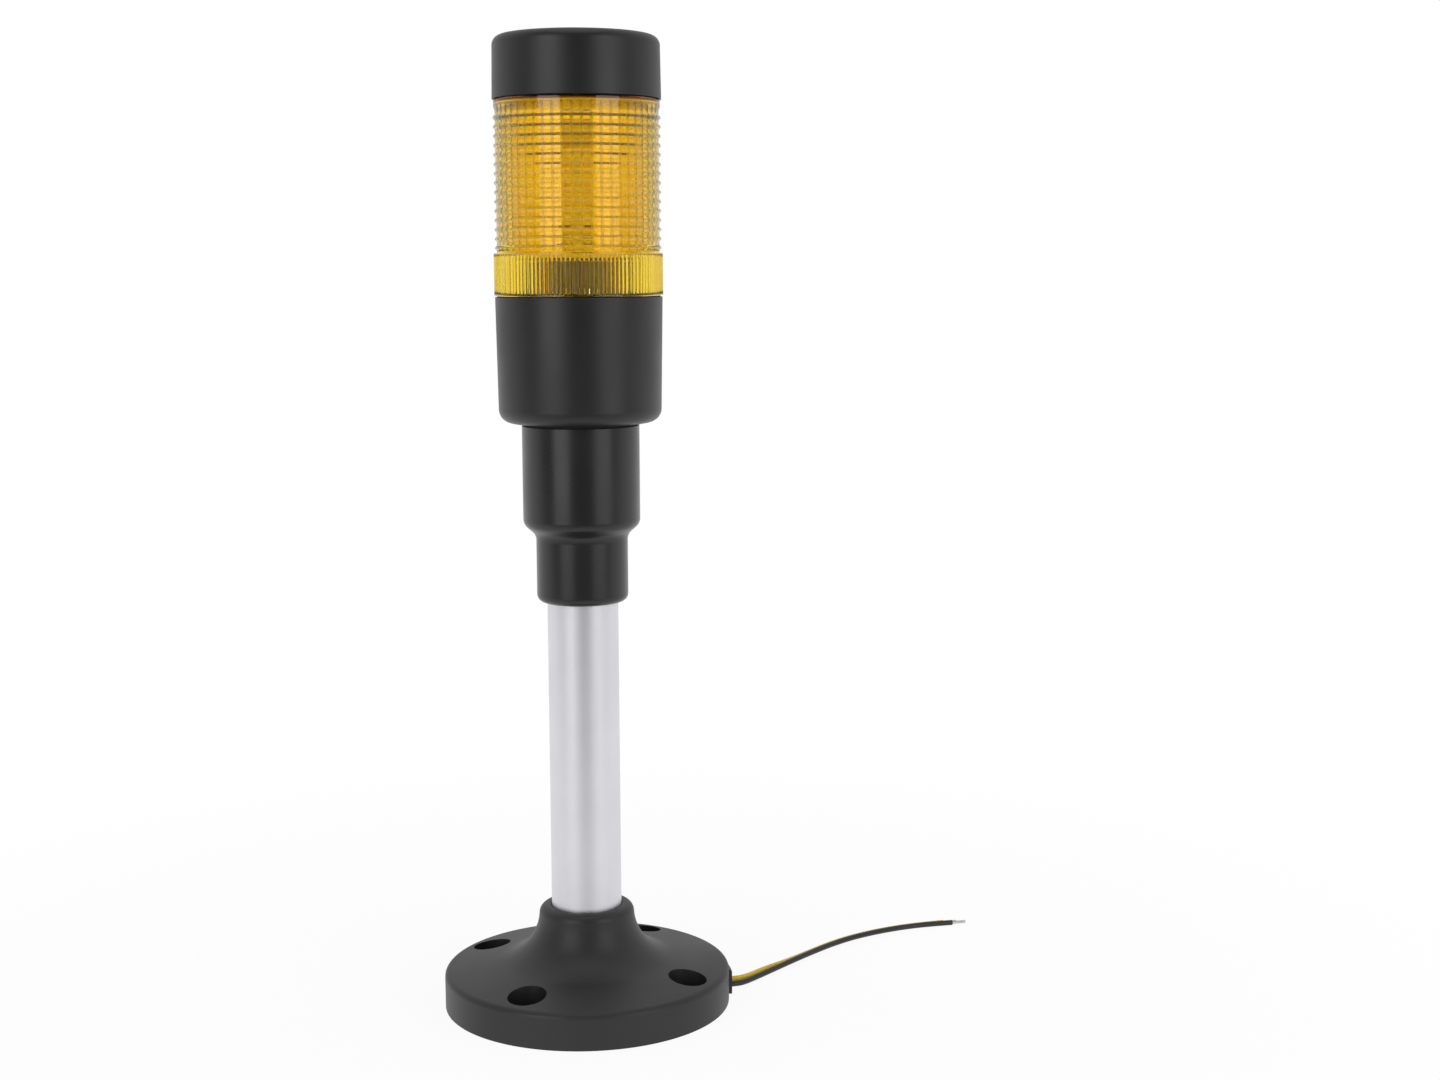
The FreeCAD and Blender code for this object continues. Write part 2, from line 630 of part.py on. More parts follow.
# ---- housing ------------------------------------------------------------------------------------
def make_housing():
    """Tapered cup with a spigot below for the adapter and three posts inside for the socket's screws."""
    body = body_named("lamp_housing", "housing_z - spigot_length")
    shape = revolve(body, "HousingBody", [
        ("spigot_bore / 2", "0"),
        ("spigot_dia / 2", "0"),
        ("spigot_dia / 2", "spigot_length"),
        ("housing_low_dia / 2", "spigot_length"),
        ("housing_top_dia / 2", "spigot_length + housing_height"),
        ("collar_bore / 2 + socket_clearance", "spigot_length + housing_height"),
        ("collar_bore / 2 + socket_clearance", "spigot_length + housing_height - socket_flange"),
        ("housing_low_dia / 2 - housing_wall", "spigot_length + housing_height - socket_flange"),
        ("housing_low_dia / 2 - housing_wall", "spigot_length + housing_floor"),
        ("spigot_bore / 2", "spigot_length + housing_floor"),
    ])
    edge = rims(shape, size("housing_low_dia") / 2, size("spigot_length"))
    fillet(body, shape, "BottomEdge", edge, "housing_radius")
    sketch = sketch_on(body, "PostSketch", "XY_Plane", lift="spigot_length", turn="plate_screw_turn")
    circle(sketch, "post_dia / 2", across="post_circle / 2")
    post = pad(body, sketch, "Post", "housing_height - socket_flange + plate_top - plate_thickness")
    around(body, post, "ScrewPosts", hook_count)
    sketch = sketch_on(body, "PilotSketch", "XY_Plane", turn="plate_screw_turn",
                       lift="spigot_length + housing_height - socket_flange + plate_top - plate_screw_length")
    circle(sketch, "plate_screw_dia / 2 + thread_clearance", across="post_circle / 2")
    pilot = pocket(body, sketch, "Pilot", "plate_screw_length + overlap", along_normal=True)
    around(body, pilot, "Pilots", hook_count)
    return body


def make_socket():
    """Bayonet socket let into the housing's top: flange, spigot with three lugs, and the contact plate."""
    body = body_named("bayonet_socket", "socket_z")
    revolve(body, "SocketBody", [
        ("bayonet_dia / 2 - bayonet_wall", "0"),
        ("collar_bore / 2", "0"),
        ("collar_bore / 2", "socket_flange"),
        ("bayonet_dia / 2", "socket_flange"),
        ("bayonet_dia / 2", "socket_height"),
        ("bayonet_dia / 2 - bayonet_wall", "socket_height"),
        ("bayonet_dia / 2 - bayonet_wall", "plate_top"),
        ("0", "plate_top"),
        ("0", "plate_top - plate_thickness"),
        ("bayonet_dia / 2 - bayonet_wall", "plate_top - plate_thickness"),
    ])
    add_lugs(body, "socket_flange + seal_thickness")
    sketch = sketch_on(body, "ScrewHoleSketch", "XY_Plane", turn="plate_screw_turn")
    circle(sketch, "plate_screw_dia / 2 + thread_clearance", across="post_circle / 2")
    hole = pocket(body, sketch, "ScrewHole", "socket_height", along_normal=True)
    around(body, hole, "ScrewHoles", hook_count)
    for number, (track, side) in enumerate(contacts, start=1):
        sketch = sketch_on(body, f"TagSlotSketch{number}", "XY_Plane", turn=tag_turn(side))
        rectangle(sketch, f"{track} / 2 - tag_thickness / 2 - tag_clearance", "-tag_width / 2 - tag_clearance",
                  f"{track} / 2 + tag_thickness / 2 + tag_clearance", "tag_width / 2 + tag_clearance")
        pocket(body, sketch, f"TagSlot{number}", "socket_height", along_normal=True)
    return body


def make_socket_screws():
    """Three pan-head screws hold the socket down on the housing's posts."""
    screws = []
    for number in range(hook_count):
        turn = f"plate_screw_turn + {number * 360 / hook_count}"
        body = body_named(f"SocketScrew{number + 1}")
        revolve(body, f"SocketScrewBody{number + 1}", [
            ("0", "0"),
            ("plate_screw_dia / 2", "0"),
            ("plate_screw_dia / 2", "plate_screw_length"),
            ("plate_screw_head / 2", "plate_screw_length"),
            ("plate_screw_head / 2", "plate_screw_length + plate_screw_head_height"),
            ("0", "plate_screw_length + plate_screw_head_height"),
        ])
        sketch = sketch_on(body, f"CrossSketch{number + 1}", "XY_Plane",
                           lift="plate_screw_length + plate_screw_head_height / 3")
        arm = "plate_screw_head / 3"
        slit = "plate_screw_head / 12"
        outline(sketch, [
            (slit, slit), (slit, arm), ("-" + slit, arm), ("-" + slit, slit), ("-" + arm, slit),
            ("-" + arm, "-" + slit), ("-" + slit, "-" + slit), ("-" + slit, "-" + arm), (slit, "-" + arm),
            (slit, "-" + slit), (arm, "-" + slit), (arm, slit),
        ])
        pocket(body, sketch, f"Cross{number + 1}", "plate_screw_head_height", along_normal=True)
        put(body, f"post_circle / 2 * cos(({turn}) * 1deg)", f"post_circle / 2 * sin(({turn}) * 1deg)",
            "pad_z - plate_screw_length")
        screws.append(body)
    return group("socket_screws", screws)


# ---- contacts -----------------------------------------------------------------------------------
# track diameter, and plan angle at which its spring rests when the module is locked
contacts = [("inner_track", 180), ("outer_track", 0)]


def tag_turn(side):
    """Plan angle of a solder tag: the middle of its pad."""
    return f"{side} + pad_spread / 2 - pad_lead_in"


def make_contact_pads():
    """Two pressed-brass contacts: an arc on top of the plate and a solder tag down through it."""
    pads = []
    for number, (track, side) in enumerate(contacts, start=1):
        body = body_named(f"ContactPad{number}", "pad_z")
        revolve(body, f"Arc{number}", [
            (f"{track} / 2 - pad_width / 2", "0"),
            (f"{track} / 2 + pad_width / 2", "0"),
            (f"{track} / 2 + pad_width / 2", "pad_thickness"),
            (f"{track} / 2 - pad_width / 2", "pad_thickness"),
        ], turn=f"{side} - pad_lead_in", angle="pad_spread")
        sketch = sketch_on(body, f"TagSketch{number}", "XY_Plane", turn=tag_turn(side),
                           lift="-plate_thickness - tag_drop")
        rectangle(sketch, f"{track} / 2 - tag_thickness / 2", "-tag_width / 2",
                  f"{track} / 2 + tag_thickness / 2", "tag_width / 2")
        pad(body, sketch, f"Tag{number}", "plate_thickness + tag_drop + pad_thickness / 2")
        pads.append(body)
    return group("contact_pads", pads)


def make_contact_springs():
    """Two leaf springs under the module's floor, each with a flat tip that slides on its pad."""
    springs = []
    for number, (track, side) in enumerate(contacts, start=1):
        body = body_named(f"ContactSpring{number}", "floor_z")
        sketch = sketch_on(body, f"SpringSketch{number}", "YZ_Plane")
        tip = "-spring_rise"
        slope = "spring_tip / 2 + spring_reach"
        foot = "spring_tip / 2 + spring_reach + spring_foot"
        outline(sketch, [
            ("-spring_tip / 2", tip),
            ("spring_tip / 2 + spring_sheet / 2", tip),
            (slope + " + spring_sheet / 2", "-spring_sheet"),
            (foot, "-spring_sheet"),
            (foot, "0"),
            (slope, "0"),
            ("spring_tip / 2", tip + " + spring_sheet"),
            ("-spring_tip / 2", tip + " + spring_sheet"),
        ])
        pad(body, sketch, f"SpringStrip{number}", "spring_width", midplane=True)
        body.Placement = Placement(Vector(), Rotation(Vector(0, 0, 1), side))
        put(body, f"{track} / 2 * cos({side} * 1deg)", "0", "floor_z")
        springs.append(body)
    return group("contact_springs", springs)


# ---- light module -------------------------------------------------------------------------------
def make_lens():
    """Amber lens in one piece: collar with hooks, ringed and fluted wall, closed top with the cap's lugs."""
    body = body_named("lens", "lens_z")
    shape = revolve(body, "LensBody", [
        ("collar_bore / 2", "0"),
        ("collar_dia / 2", "0"),
        ("collar_dia / 2", "collar_height"),
        ("lens_dia / 2", "collar_height"),
        ("lens_dia / 2", "lens_height - shoulder_band - shoulder_slope"),
        ("lens_shoulder_dia / 2", "lens_height - shoulder_band"),
        ("lens_shoulder_dia / 2", "lens_height"),
        ("bayonet_dia / 2", "lens_height"),
        ("bayonet_dia / 2", "lens_height + seal_thickness + bayonet_height"),
        ("bayonet_dia / 2 - bayonet_wall", "lens_height + seal_thickness + bayonet_height"),
        ("bayonet_dia / 2 - bayonet_wall", "lens_height"),
        ("0", "lens_height"),
        ("0", "lens_height - lens_crown"),
        ("lens_dia / 2 - lens_wall", "lens_height - lens_crown"),
        ("lens_dia / 2 - lens_wall", "floor_seat"),
        ("collar_bore / 2", "floor_seat"),
    ])

    sketch = sketch_on(body, "FluteSketch", "XY_Plane", lift="floor_seat + flute_margin")
    inside = "lens_dia / 2 - lens_wall"
    outline(sketch, [
        (inside + " - overlap", "-flute_width / 2"),
        (inside, "-flute_width / 2"),
        (inside + " + flute_depth", "0"),
        (inside, "flute_width / 2"),
        (inside + " - overlap", "flute_width / 2"),
    ])
    flute = pocket(body, sketch, "Flute",
                   "lens_height - lens_crown - floor_seat - 2 * flute_margin", along_normal=True)
    around(body, flute, "Flutes", flute_count)

    ridge = revolve(body, "Ring", [
        ("lens_dia / 2 - overlap", "ring_first - ring_root / 2"),
        ("lens_dia / 2", "ring_first - ring_root / 2"),
        ("lens_dia / 2 + ring_proud", "ring_first - ring_crest / 2"),
        ("lens_dia / 2 + ring_proud", "ring_first + ring_crest / 2"),
        ("lens_dia / 2", "ring_first + ring_root / 2"),
        ("lens_dia / 2 - overlap", "ring_first + ring_root / 2"),
    ])
    upwards(body, ridge, "Rings", ring_count, f"ring_pitch * {ring_count - 1}")
    add_hooks(body)
    add_lugs(body, "lens_height + seal_thickness")
    return body


def make_boards():
    """Round supply board and upright LED board, soldered together."""
    base = ring("led_base_board", "board_z", "board_dia / 2", None, "board_thickness")
    column = bound_box("led_column_board", "column_width", "board_thickness", "column_height")
    column.Label = "led_column_board"
    put(column, "-column_width / 2", "-board_thickness / 2", "column_z")
    return base, column


def make_led_chips():
    """LEDs in two columns on each face of the upright board."""
    chips = []
    for face in (-1, 1):
        for column in (-1, 1):
            for row in range(led_rows):
                chip = bound_box(f"LedChip{len(chips) + 1}", "led_width", "led_thickness", "led_height")
                along = "board_thickness / 2" if face > 0 else "-board_thickness / 2 - led_thickness"
                put(chip, f"{column} * led_columns / 2 - led_width / 2", along,
                    f"column_z + led_first + {row} * led_pitch")
                chips.append(chip)
    return group("led_chips", chips)


def make_board_parts():
    """Bridge rectifier and two series resistors on the round board."""
    rectifier = bound_box("Rectifier", "rectifier_size", "rectifier_size", "rectifier_height")
    put(rectifier, "-rectifier_size / 2", "part_offset - rectifier_size / 2", "column_z")
    parts = [rectifier]
    for side in (-1, 1):
        resistor = bound_box(f"Resistor{len(parts)}", "resistor_width", "resistor_length", "resistor_height")
        put(resistor, f"{side} * part_offset / 3 - resistor_width / 2",
            "-part_offset - resistor_length / 2", "column_z")
        parts.append(resistor)
    return group("board_components", parts)


def make_module_floor():
    """Disc that closes the lens from below, notched to pass the hooks; it carries the board and the springs."""
    body = body_named("module_floor", "floor_z")
    sketch = sketch_on(body, "DiscSketch", "XY_Plane")
    circle(sketch, "collar_bore / 2 - floor_clearance")
    pad(body, sketch, "Disc", "floor_thickness")
    sketch = sketch_on(body, "NotchSketch", "XY_Plane",
                       turn="lug_start + stop_spread + hook_slack + hook_spread / 2")
    half = "(bayonet_dia / 2 * sin(hook_spread / 2 * 1deg) + floor_notch_play)"
    rectangle(sketch, "bayonet_dia / 2 - floor_clearance", "-" + half, "collar_bore / 2 + overlap", half)
    notch = pocket(body, sketch, "Notch", "floor_thickness", along_normal=True)
    around(body, notch, "Notches", hook_count)
    return body


# ---- cap ----------------------------------------------------------------------------------------
def make_cap():
    body = body_named("top_cap", "cap_z")
    shape = revolve(body, "CapBody", [
        ("collar_bore / 2", "0"),
        ("cap_low_dia / 2", "0"),
        ("cap_top_dia / 2", "cap_height"),
        ("0", "cap_height"),
        ("0", "cap_height - cap_crown"),
        ("collar_bore / 2", "cap_height - cap_crown"),
    ])
    edge = rims(shape, size("cap_top_dia") / 2, size("cap_height"))
    shape = fillet(body, shape, "TopEdge", edge, "cap_radius")
    edge = rims(shape, size("collar_bore") / 2, size("cap_height") - size("cap_crown"))
    fillet(body, shape, "InnerEdge", edge, "cap_inner_radius")
    add_hooks(body)
    return body


# ---- leads --------------------------------------------------------------------------------------
def tangent_path(points):
    """Straight runs through the points, joined by tangent arcs; gives the wire and the arcs' radii."""
    edges = []
    radii = []
    start = points[0]
    for before, corner, after in zip(points, points[1:], points[2:]):
        back = (before - corner).normalize()
        ahead = (after - corner).normalize()
        half_turn = (math.pi - back.getAngle(ahead)) / 2
        trim = 0.45 * min((before - corner).Length, (after - corner).Length)
        radius = trim / math.tan(half_turn)
        middle = (back + ahead).normalize()
        inset = radius / math.cos(half_turn) - radius
        arc = Part.Arc(corner + back * trim, corner + middle * inset, corner + ahead * trim)
        edges.append(Part.LineSegment(start, corner + back * trim).toShape())
        edges.append(arc.toShape())
        radii.append(radius)
        start = corner + ahead * trim
    edges.append(Part.LineSegment(start, points[-1]).toShape())
    return Part.Wire(edges), radii


def make_lead(label, points):
    """A round lead along a path of tangent arcs, checked against its section times its length."""
    radius = size("lead_dia") / 2
    path, radii = tangent_path(points)
    section = Part.Wire(Part.Circle(points[0], points[1] - points[0], radius).toShape())
    lead = doc.addObject("Part::Feature", label)
    lead.Label = label
    lead.Shape = path.makePipeShell([section], True, True)
    expected = math.pi * radius ** 2 * path.Length
    print(f"{label}: length {path.Length:.1f}, radii {[round(value, 1) for value in radii]}, "
          f"volume {lead.Shape.Volume:.1f} of {expected:.1f}")
    if abs(lead.Shape.Volume - expected) > 0.01 * expected:
        raise RuntimeError(f"{label} is not a clean tube")
    return lead


def make_strands(label, points):
    """The tinned strands that stand out of a lead's stripped end."""
    direction = points[-1] - points[-2]
    strands = bound_cylinder(label, "strand_dia / 2", "strand_length")
    strands.Label = label
    strands.Placement = Placement(points[-1], Rotation(Vector(0, 0, 1), direction))
    return strands


def tag_height():
    return size("pad_z") - size("plate_thickness") - size("tag_drop")


def under_tag(contact, drop):
    """A point straight below a solder tag's lower end, where a lead starts."""
    track, side = contact
    turn = math.radians(side + size("pad_spread") / 2 - size("pad_lead_in"))
    return Vector(size(track) / 2 * math.cos(turn), size(track) / 2 * math.sin(turn), tag_height() - drop)


def inside_point(across, along, share):
    """A point in the pole or the housing, at this share of the way up from the pole's seat to the tags."""
    return Vector(across, along, size("pole_seat") + share * (tag_height() - size("pole_seat")))


def outlet_point(reach, aside, height):
    """A point given along and across the direction of the outlet."""
    turn = math.radians(size("outlet_turn"))
    return Vector(reach * math.cos(turn) - aside * math.sin(turn),
                  reach * math.sin(turn) + aside * math.cos(turn), height)


def make_leads():
    """Black and yellow leads: down the pole to the outlet, then free on the table as far as their bare ends."""
    reach = size("outlet_radius")
    aside = size("lead_offset")
    black_inside = [
        under_tag(contacts[0], 0),
        under_tag(contacts[0], 7),
        inside_point(-6.6, -2.6, 0.935),
        inside_point(-5.6, -2.2, 0.84),
        inside_point(-4.6, -3.0, 0.70),
        inside_point(-5.4, -2.4, 0.52),
        inside_point(-4.8, -3.2, 0.32),
        outlet_point(-5.0, -1.5, 32),
        outlet_point(-4.6, -1.7, 12),
        outlet_point(3.4, -1.5, 1.3),
        outlet_point(22.0, -aside, 1.2),
        outlet_point(reach, -aside, 1.2),
    ]
    yellow_inside = [
        under_tag(contacts[1], 0),
        under_tag(contacts[1], 7),
        inside_point(10.2, 3.6, 0.94),
        inside_point(5.6, 3.0, 0.86),
        inside_point(-1.5, 2.0, 0.74),
        inside_point(-4.6, 1.4, 0.59),
        inside_point(-4.2, 0.6, 0.40),
        inside_point(-5.0, 0.2, 0.24),
        outlet_point(-4.7, 1.6, 30),
        outlet_point(-4.4, 1.4, 12),
        outlet_point(3.6, 1.4, 1.5),
        outlet_point(22.0, aside, 1.7),
        outlet_point(reach, aside, 1.7),
    ]
    black_free = [
        outlet_point(reach, -aside, 1.2),
        outlet_point(reach + 3, -aside, 1.2),
        Vector(50.4, 12.2, 1.15),
        Vector(52.9, 15.3, 1.1),
        Vector(58.6, 22.0, 1.3),
        Vector(66.2, 30.6, 1.75),
        Vector(73.4, 39.2, 1.85),
        Vector(80.6, 47.6, 1.8),
        Vector(88.0, 54.6, 1.75),
        Vector(96.2, 60.4, 1.7),
        Vector(105.4, 65.4, 1.65),
        Vector(115.0, 69.0, 1.6),
        Vector(124.0, 71.2, 1.5),
    ]
    yellow_free = [
        outlet_point(reach, aside, 1.7),
        outlet_point(reach + 3, aside, 1.7),
        Vector(49.9, 15.4, 1.5),
        Vector(52.3, 18.5, 1.2),
        Vector(57.2, 25.0, 1.05),
        Vector(64.8, 32.4, 1.0),
        Vector(72.0, 40.8, 1.0),
        Vector(79.3, 49.3, 1.0),
        Vector(86.9, 56.4, 1.0),
        Vector(95.3, 62.4, 1.0),
        Vector(104.7, 67.4, 1.0),
        Vector(114.4, 71.0, 1.0),
        Vector(121.0, 72.8, 1.0),
    ]
    return [
        make_lead("black_lead_inner", black_inside),
        make_lead("yellow_lead_inner", yellow_inside),
        make_lead("black_lead", black_free),
        make_lead("yellow_lead", yellow_free),
        make_strands("black_lead_end", black_free),
        make_strands("yellow_lead_end", yellow_free),
    ]


# ---- whole part ---------------------------------------------------------------------------------
nodes = [make_foot(), make_pole(), make_adapter()]
nodes += list(make_set_screws())
nodes.append(ring("adapter_gasket", "gasket_z", "adapter_large_dia / 2 - gasket_inset",
                  "spigot_dia / 2 + spigot_clearance", "gasket_thickness"))
nodes += [make_housing(), make_socket(), make_socket_screws(), make_contact_pads()]
nodes.append(ring("housing_seal", "housing_top", "housing_top_dia / 2 - seal_inset",
                  "bayonet_dia / 2 + seal_clearance", "seal_thickness"))
nodes += [make_lens(), make_module_floor(), make_contact_springs()]
nodes += list(make_boards())
nodes += [make_led_chips(), make_board_parts()]
nodes.append(ring("cap_seal", "shoulder_z", "lens_shoulder_dia / 2 - seal_inset",
                  "bayonet_dia / 2 + seal_clearance", "seal_thickness"))
nodes.append(make_cap())
nodes += make_leads()
doc.recompute()

for item in doc.Objects:
    if "Invalid" in item.State or "Error" in item.State:
        sys.exit(f"{item.Label} failed to compute")
for node in nodes:
    if node.Shape.isNull() or not node.Shape.isValid() or not node.Shape.Solids:
        sys.exit(f"{node.Label} has no valid shape")
for node in nodes:
    node.Shape.exportStep(f"parts/{node.Label}.step")
    print(f"{node.Label}: {len(node.Shape.Solids)} solid(s), {node.Shape.Volume:.1f} mm3")
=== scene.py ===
import math

import bpy
from mathutils import Matrix, Vector


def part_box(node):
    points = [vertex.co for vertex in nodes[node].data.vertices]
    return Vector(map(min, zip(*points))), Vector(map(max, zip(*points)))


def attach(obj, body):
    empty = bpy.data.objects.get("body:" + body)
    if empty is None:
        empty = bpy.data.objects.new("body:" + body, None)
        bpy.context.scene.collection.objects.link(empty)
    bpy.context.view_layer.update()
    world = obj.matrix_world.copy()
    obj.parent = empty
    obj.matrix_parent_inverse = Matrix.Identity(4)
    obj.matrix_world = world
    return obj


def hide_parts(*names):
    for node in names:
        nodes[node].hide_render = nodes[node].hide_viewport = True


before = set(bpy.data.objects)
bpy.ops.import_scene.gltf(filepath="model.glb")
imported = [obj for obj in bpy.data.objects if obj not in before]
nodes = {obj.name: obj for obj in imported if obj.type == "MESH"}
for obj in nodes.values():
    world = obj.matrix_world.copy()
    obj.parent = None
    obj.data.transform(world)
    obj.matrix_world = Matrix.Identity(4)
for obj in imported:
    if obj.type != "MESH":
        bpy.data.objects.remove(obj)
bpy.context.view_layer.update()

scene = bpy.context.scene
mm = 0.001


# the camera stands a little right of the light and looks slightly down
cameraView = {
    "focalLength": 52.1,
    "sensorWidth": 36.0,
    "place": (42.7 * mm, -640.0 * mm, 232.9 * mm),
    "tiltDown": 7.6,
    "roll": -0.227,
    "nearest": 0.01,
    "farthest": 30.0,
}


def placeCamera():
    optics = bpy.data.cameras.new("camera")
    optics.lens = cameraView["focalLength"]
    optics.sensor_width = cameraView["sensorWidth"]
    optics.clip_start = cameraView["nearest"]
    optics.clip_end = cameraView["farthest"]
    camera = bpy.data.objects.new("camera", optics)
    camera.location = cameraView["place"]
    look = Matrix.Rotation(math.radians(90 - cameraView["tiltDown"]), 4, "X")
    turn = Matrix.Rotation(math.radians(cameraView["roll"]), 4, "Z")
    camera.rotation_euler = (look @ turn).to_euler()
    scene.collection.objects.link(camera)
    scene.camera = camera


placeCamera()
print("camera placed")


# short words for nodes, used in shaders and in geometry trees alike
def feed(tree, socket, value):
    if isinstance(value, bpy.types.NodeSocket):
        tree.links.new(value, socket)
    else:
        socket.default_value = value


def addNode(tree, kind, inputs=None, **settings):
    node = tree.nodes.new(kind)
    for key, value in settings.items():
        setattr(node, key, value)
    for key, value in (inputs or {}).items():
        feed(tree, node.inputs[key], value)
    return node


def compute(tree, operation, *values):
    inputs = dict(enumerate(values))
    return addNode(tree, "ShaderNodeMath", inputs, operation=operation).outputs[0]


def chain(tree, operation, first, *others):
    for other in others:
        first = compute(tree, operation, first, other)
    return first


def add(tree, *values):
    return chain(tree, "ADD", *values)


def subtract(tree, *values):
    return chain(tree, "SUBTRACT", *values)


def multiply(tree, *values):
    return chain(tree, "MULTIPLY", *values)


def divide(tree, *values):
    return chain(tree, "DIVIDE", *values)


def larger(tree, *values):
    return chain(tree, "MAXIMUM", *values)


def axesOf(tree, vector):
    return addNode(tree, "ShaderNodeSeparateXYZ", {0: vector}).outputs


def vectorOf(tree, x=0.0, y=0.0, z=0.0):
    return addNode(tree, "ShaderNodeCombineXYZ", {"X": x, "Y": y, "Z": z}).outputs[0]


def lengthOf(tree, vector):
    node = addNode(tree, "ShaderNodeVectorMath", {0: vector}, operation="LENGTH")
    return node.outputs["Value"]


def scaledBy(tree, vector, factors):
    inputs = {0: vector, 1: factors}
    return addNode(tree, "ShaderNodeVectorMath", inputs, operation="MULTIPLY").outputs[0]


def spread(tree, value, old, new):  # a value's range stretched to a new one
    ends = {"From Min": old[0], "From Max": old[1], "To Min": new[0], "To Max": new[1]}
    inputs = {"Value": value, **ends}
    return addNode(tree, "ShaderNodeMapRange", inputs, clamp=True).outputs["Result"]


def blendNumbers(tree, share, first, second):
    return addNode(tree, "ShaderNodeMix", {0: share, 2: first, 3: second}).outputs[0]


def blendColors(tree, share, first, second):
    inputs = {0: share, 6: first, 7: second}
    return addNode(tree, "ShaderNodeMix", inputs, data_type="RGBA").outputs[2]


def objectPlace(tree):
    return addNode(tree, "ShaderNodeTexCoord").outputs["Object"]


def scaleFor(tree, size):  # the noise scale for a size in millimetres
    return divide(tree, 1 / mm, size)


def noise(tree, place, scale, detail, roughness=0.5):
    inputs = {"Vector": place, "Scale": scale, "Detail": detail, "Roughness": roughness}
    return addNode(tree, "ShaderNodeTexNoise", inputs).outputs["Fac"]


# shared effects of the materials
def shaderGroup(name, inputs, outputs):
    tree = bpy.data.node_groups.new(name, "ShaderNodeTree")
    for label, value in inputs.items():
        socket = tree.interface.new_socket(label, in_out="INPUT", socket_type="NodeSocketFloat")
        socket.default_value = value
    for label in outputs:
        tree.interface.new_socket(label, in_out="OUTPUT", socket_type="NodeSocketFloat")
    given = tree.nodes.new("NodeGroupInput").outputs
    return tree, given, tree.nodes.new("NodeGroupOutput").inputs


def useGroup(tree, group, inputs):
    return addNode(tree, "ShaderNodeGroup", inputs, node_tree=group).outputs


def makeMouldGrain():  # the fine texture of a moulding tool, and slow changes of its gloss
    sizes = {"Grain Size": 0.3, "Patch Size": 20.0}
    tree, given, result = shaderGroup("mouldGrain", sizes, ["Grain", "Patch"])
    place = objectPlace(tree)
    feed(tree, result["Grain"], noise(tree, place, scaleFor(tree, given["Grain Size"]), 3.0, 0.6))
    feed(tree, result["Patch"], noise(tree, place, scaleFor(tree, given["Patch Size"]), 2.0, 0.5))
    return tree


dustLook = {
    "upward": (0.2, 1.0),
    "specks": (0.45, 0.7),
    "cover": (0.15, 1.0),
}


def makeDustFilm():  # a thin film of dust on faces that look up, broken into specks
    sizes = {"Amount": 0.1, "Speck Size": 0.5}
    tree, given, result = shaderGroup("dustFilm", sizes, ["Dust"])
    coords = addNode(tree, "ShaderNodeTexCoord").outputs
    facing = spread(tree, axesOf(tree, coords["Normal"])["Z"], dustLook["upward"], (0.0, 1.0))
    specks = noise(tree, coords["Object"], scaleFor(tree, given["Speck Size"]), 4.0, 0.7)
    broken = spread(tree, specks, dustLook["specks"], dustLook["cover"])
    feed(tree, result["Dust"], multiply(tree, facing, broken, given["Amount"]))
    return tree


def makeDrawnLines():  # fine lines along Z, as on a drawn tube
    sizes = {"Line Width": 0.12, "Line Length": 40.0}
    tree, given, result = shaderGroup("drawnLines", sizes, ["Lines"])
    across = scaleFor(tree, given["Line Width"])
    along = scaleFor(tree, given["Line Length"])
    stretched = scaledBy(tree, objectPlace(tree), vectorOf(tree, across, across, along))
    feed(tree, result["Lines"], noise(tree, stretched, 1.0, 3.0))
    return tree


# painted edge highlight: how sharp an edge must be, and the noise that breaks it up
wearLook = {
    "turned": (0.995, 0.85),
    "breakUp": (0.35, 0.65),
    "cover": (0.2, 1.0),
    "breakUpScale": 0.4 / mm,
    "samples": 4,
}


def makeEdgeWear():  # painted highlight on edges: where the normal differs from that of a rounded edge, broken up by noise
    sizes = {"Edge Width": 0.4, "Amount": 0.3}
    tree, given, result = shaderGroup("edgeWear", sizes, ["Wear"])
    width = multiply(tree, given["Edge Width"], mm)
    rounded = addNode(tree, "ShaderNodeBevel", {"Radius": width}, samples=wearLook["samples"])
    flat = addNode(tree, "ShaderNodeNewGeometry").outputs["Normal"]
    likeness = addNode(tree, "ShaderNodeVectorMath", {0: rounded.outputs[0], 1: flat},
                       operation="DOT_PRODUCT").outputs["Value"]
    edge = spread(tree, likeness, wearLook["turned"], (0.0, 1.0))
    breakUp = noise(tree, objectPlace(tree), wearLook["breakUpScale"], 3.0)
    maskShare = spread(tree, breakUp, wearLook["breakUp"], wearLook["cover"])
    feed(tree, result["Wear"], multiply(tree, edge, maskShare, given["Amount"]))
    return tree


tracksLook = {
    "cellScale": 0.16 / mm,
    "shift": 2.0,
    "softEdge": (-0.02, 0.02),
}


def makeBoardTracks():  # copper tracks under the lacquer of a board: strips with gaps between
    sizes = {"Track Pitch": 1.8, "Track Share": 0.45}
    tree, given, result = shaderGroup("boardTracks", sizes, ["Tracks"])
    place = objectPlace(tree)
    axes = axesOf(tree, place)
    pitch = multiply(tree, given["Track Pitch"], mm)
    inputs = {"Vector": place, "Scale": tracksLook["cellScale"]}
    cells = addNode(tree, "ShaderNodeTexVoronoi", inputs).outputs["Distance"]
    shift = multiply(tree, cells, tracksLook["shift"])
    steps = divide(tree, add(tree, axes["X"], axes["Y"]), pitch)
    steps = add(tree, steps, compute(tree, "ROUND", shift))
    across = compute(tree, "ABSOLUTE", subtract(tree, compute(tree, "FRACT", steps), 0.5))
    inside = subtract(tree, divide(tree, given["Track Share"], 2.0), across)
    feed(tree, result["Tracks"], spread(tree, inside, tracksLook["softEdge"], (0.0, 1.0)))
    return tree


mouldGrain = makeMouldGrain()
dustFilm = makeDustFilm()
edgeWear = makeEdgeWear()
boardTracks = makeBoardTracks()
drawnLines = makeDrawnLines()

